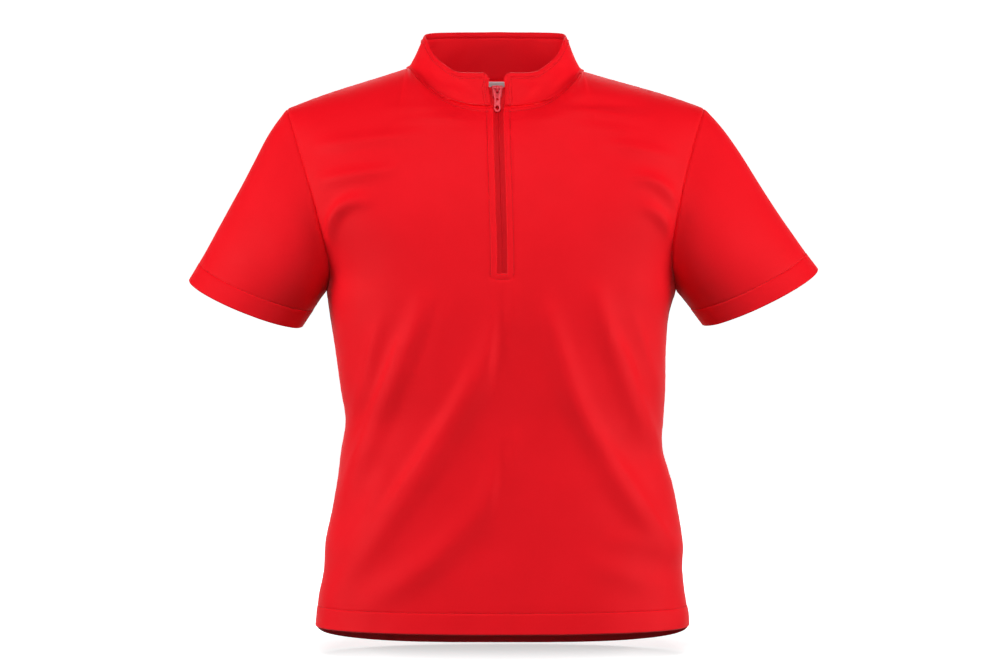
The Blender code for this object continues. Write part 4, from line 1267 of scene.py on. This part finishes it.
# ------------------------------------------------------------------------ studio
CAMERA = (0.010, -3.4, -0.290)
LENS = 110.4
FLOOR_Z = -0.6405
SKY, GROUND = 0.30, 0.04           # world light from above and from below the horizon
# The floor and wall glow though they are no lamp, so they read white: painted light. The glow is
# least under the shirt, a painted shadow beneath the hem.
PAINTED_SHADOW_GLOW = 0.58                        # least glow of the floor, under the shirt
FLOOR_FRONT, FLOOR_BACK, FLOOR_HALF_WIDTH = -8.0, 7.0, 8.0
WALL_CURVE, WALL_TOP = 1.2, 6.0
LIGHTS = (                         # name, place, aim, size in metres, power in watts
    ("front", (0.0, -2.1, 1.2), (0.0, 0.0, -0.5), 1.0, 38.0),
    ("back", (0.0, 2.2, 1.6), (0.0, 0.0, -0.3), 1.4, 26.0),
    ("left", (-3.1, -1.0, 0.0), (0.0, 0.0, -0.5), 1.6, 84.0),
    ("right", (3.1, -1.0, 0.0), (0.0, 0.0, -0.5), 1.6, 84.0))


def build_studio():
    scene = bpy.context.scene
    camera = bpy.data.objects.new("camera", bpy.data.cameras.new("camera"))
    camera.location = CAMERA
    camera.rotation_euler = (math.pi / 2, 0.0, 0.0)
    camera.data.lens = LENS
    camera.data.sensor_width = 36.0
    camera.data.clip_end = 60.0
    scene.collection.objects.link(camera)
    scene.camera = camera

    # Floor material: white, with a glow of its own (painted light) that is lowered under the shirt
    # as a painted shadow.
    white = Nodes("studio_white_painted_glow", 0.9, specular=0.0)
    white.colour(white.noise(2.0), (0.80, 0.80, 0.80), (0.82, 0.82, 0.82))
    split = white.add("SeparateXYZ")
    white.link(white.add("TexCoord").outputs["Object"], split.inputs[0])
    painted_glow = PAINTED_SHADOW_GLOW
    # The glow rises from under the shirt towards the front, leaving a painted shadow beneath the
    # hem, and rises again behind it.
    for first, last in ((0.10, -0.10), (0.12, 0.45)):
        ramp = white.add("MapRange", interpolation_type="SMOOTHSTEP")
        white.link(split.outputs[1], ramp.inputs["Value"])
        ramp.inputs["From Min"].default_value = first
        ramp.inputs["From Max"].default_value = last
        ramp.inputs["To Max"].default_value = 1.0 - PAINTED_SHADOW_GLOW
        painted_glow = white.math("ADD", ramp.outputs[0], painted_glow)
    white.link(painted_glow, white.shader.inputs["Emission Strength"])
    white.set("Emission Color", (1.0, 1.0, 1.0, 1.0))
    profile = [(FLOOR_FRONT, FLOOR_Z), (FLOOR_BACK, FLOOR_Z)] + [
        (FLOOR_BACK + WALL_CURVE * math.sin(a), FLOOR_Z + WALL_CURVE * (1 - math.cos(a)))
        for a in np.linspace(0.1, math.pi / 2, 14)] + [(FLOOR_BACK + WALL_CURVE, WALL_TOP)]
    points = [(x / MM, y / MM, z / MM) for y, z in profile
              for x in (-FLOOR_HALF_WIDTH, FLOOR_HALF_WIDTH)]
    faces = [[2 * n, 2 * n + 1, 2 * n + 3, 2 * n + 2] for n in range(len(profile) - 1)]
    floor = mesh_object("studio_floor", points, faces, white.material)
    floor.visible_diffuse = False

    world = bpy.data.worlds.new("studio")
    world.use_nodes = True
    tree = world.node_tree
    background = tree.nodes["Background"]
    split = tree.nodes.new("ShaderNodeSeparateXYZ")
    tree.links.new(tree.nodes.new("ShaderNodeTexCoord").outputs["Generated"], split.inputs[0])
    above = tree.nodes.new("ShaderNodeMapRange")
    above.interpolation_type = "SMOOTHSTEP"
    for socket, value in (("From Min", -0.15), ("From Max", 0.1), ("To Min", GROUND),
                          ("To Max", SKY)):
        above.inputs[socket].default_value = value
    tree.links.new(split.outputs[2], above.inputs["Value"])
    tree.links.new(above.outputs[0], background.inputs["Strength"])
    scene.world = world
    for name, place, aim, size, power in LIGHTS:
        light = bpy.data.lights.new(name, "AREA")
        light.shape = "SQUARE"
        light.size = size
        light.energy = power
        thing = bpy.data.objects.new(name, light)
        thing.location = place
        thing.rotation_euler = (Vector(aim) - Vector(place)).to_track_quat("-Z", "Y").to_euler()
        scene.collection.objects.link(thing)
    scene.view_settings.view_transform = "Standard"
    scene.view_settings.look = "None"


# ------------------------------------------------------------------------ the whole
def declare(pieces, zip_pieces):
    """Attaches each piece to its body and hides the solid that it stands for; the cuts of the cloth
    pieces are listed but not used.
    """
    cuts = {
        "front": ((0.53, 0.64), 0.295), "back": ((0.54, 0.67), 0.306),
        "sleeve_left": ((0.44, 0.24), 0.0575), "sleeve_right": ((0.45, 0.24), 0.0589),
        "collar": ((0.43, 0.062), 0.0213)}
    for name, (flat, area) in cuts.items():
        finish_piece(pieces[name])
        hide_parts(name)
    finish_piece(pieces["label"])
    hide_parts("neck_label")
    for side in ("left", "right"):
        piece = zip_pieces["tape_" + side]
        finish_piece(piece)
        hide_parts("zip_tape_" + side)
    finish_piece(zip_pieces["coil"])
    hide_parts("zip_coil")
    finish_piece(zip_pieces["slider"])
    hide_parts("zip_slider")
    finish_piece(zip_pieces["pull"], "pull_tab")
    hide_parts("zip_pull")


build_studio()
red = knit("red_knit_cloth", (0.82, 0.0032, 0.0095), (0.89, 0.0044, 0.0125))
sewing = thread("red_sewing_thread", (0.46, 0.003, 0.006), (0.56, 0.004, 0.009))
# The label is white; its faint pink tint is a painted reflection of the red collar around it.
white_satin = woven("label_satin_cloth", (0.94, 0.86, 0.86), (0.98, 0.93, 0.93), 0.45)
tape = woven("zip_tape_cloth", (0.66, 0.0035, 0.0090), (0.76, 0.0045, 0.0115), 0.6)
coil = thread("zip_coil_nylon", (0.42, 0.004, 0.008), (0.50, 0.006, 0.012))
metal = enamel("zip_slider_enamel", (0.55, 0.010, 0.022), (0.62, 0.014, 0.030))
pull_metal = enamel("zip_pull_enamel", (0.70, 0.016, 0.034), (0.78, 0.023, 0.044), 0.38)
pieces = build_cloth(red, sewing, white_satin)
zip_pieces = build_zip(tape, metal, pull_metal, coil)
declare(pieces, zip_pieces)
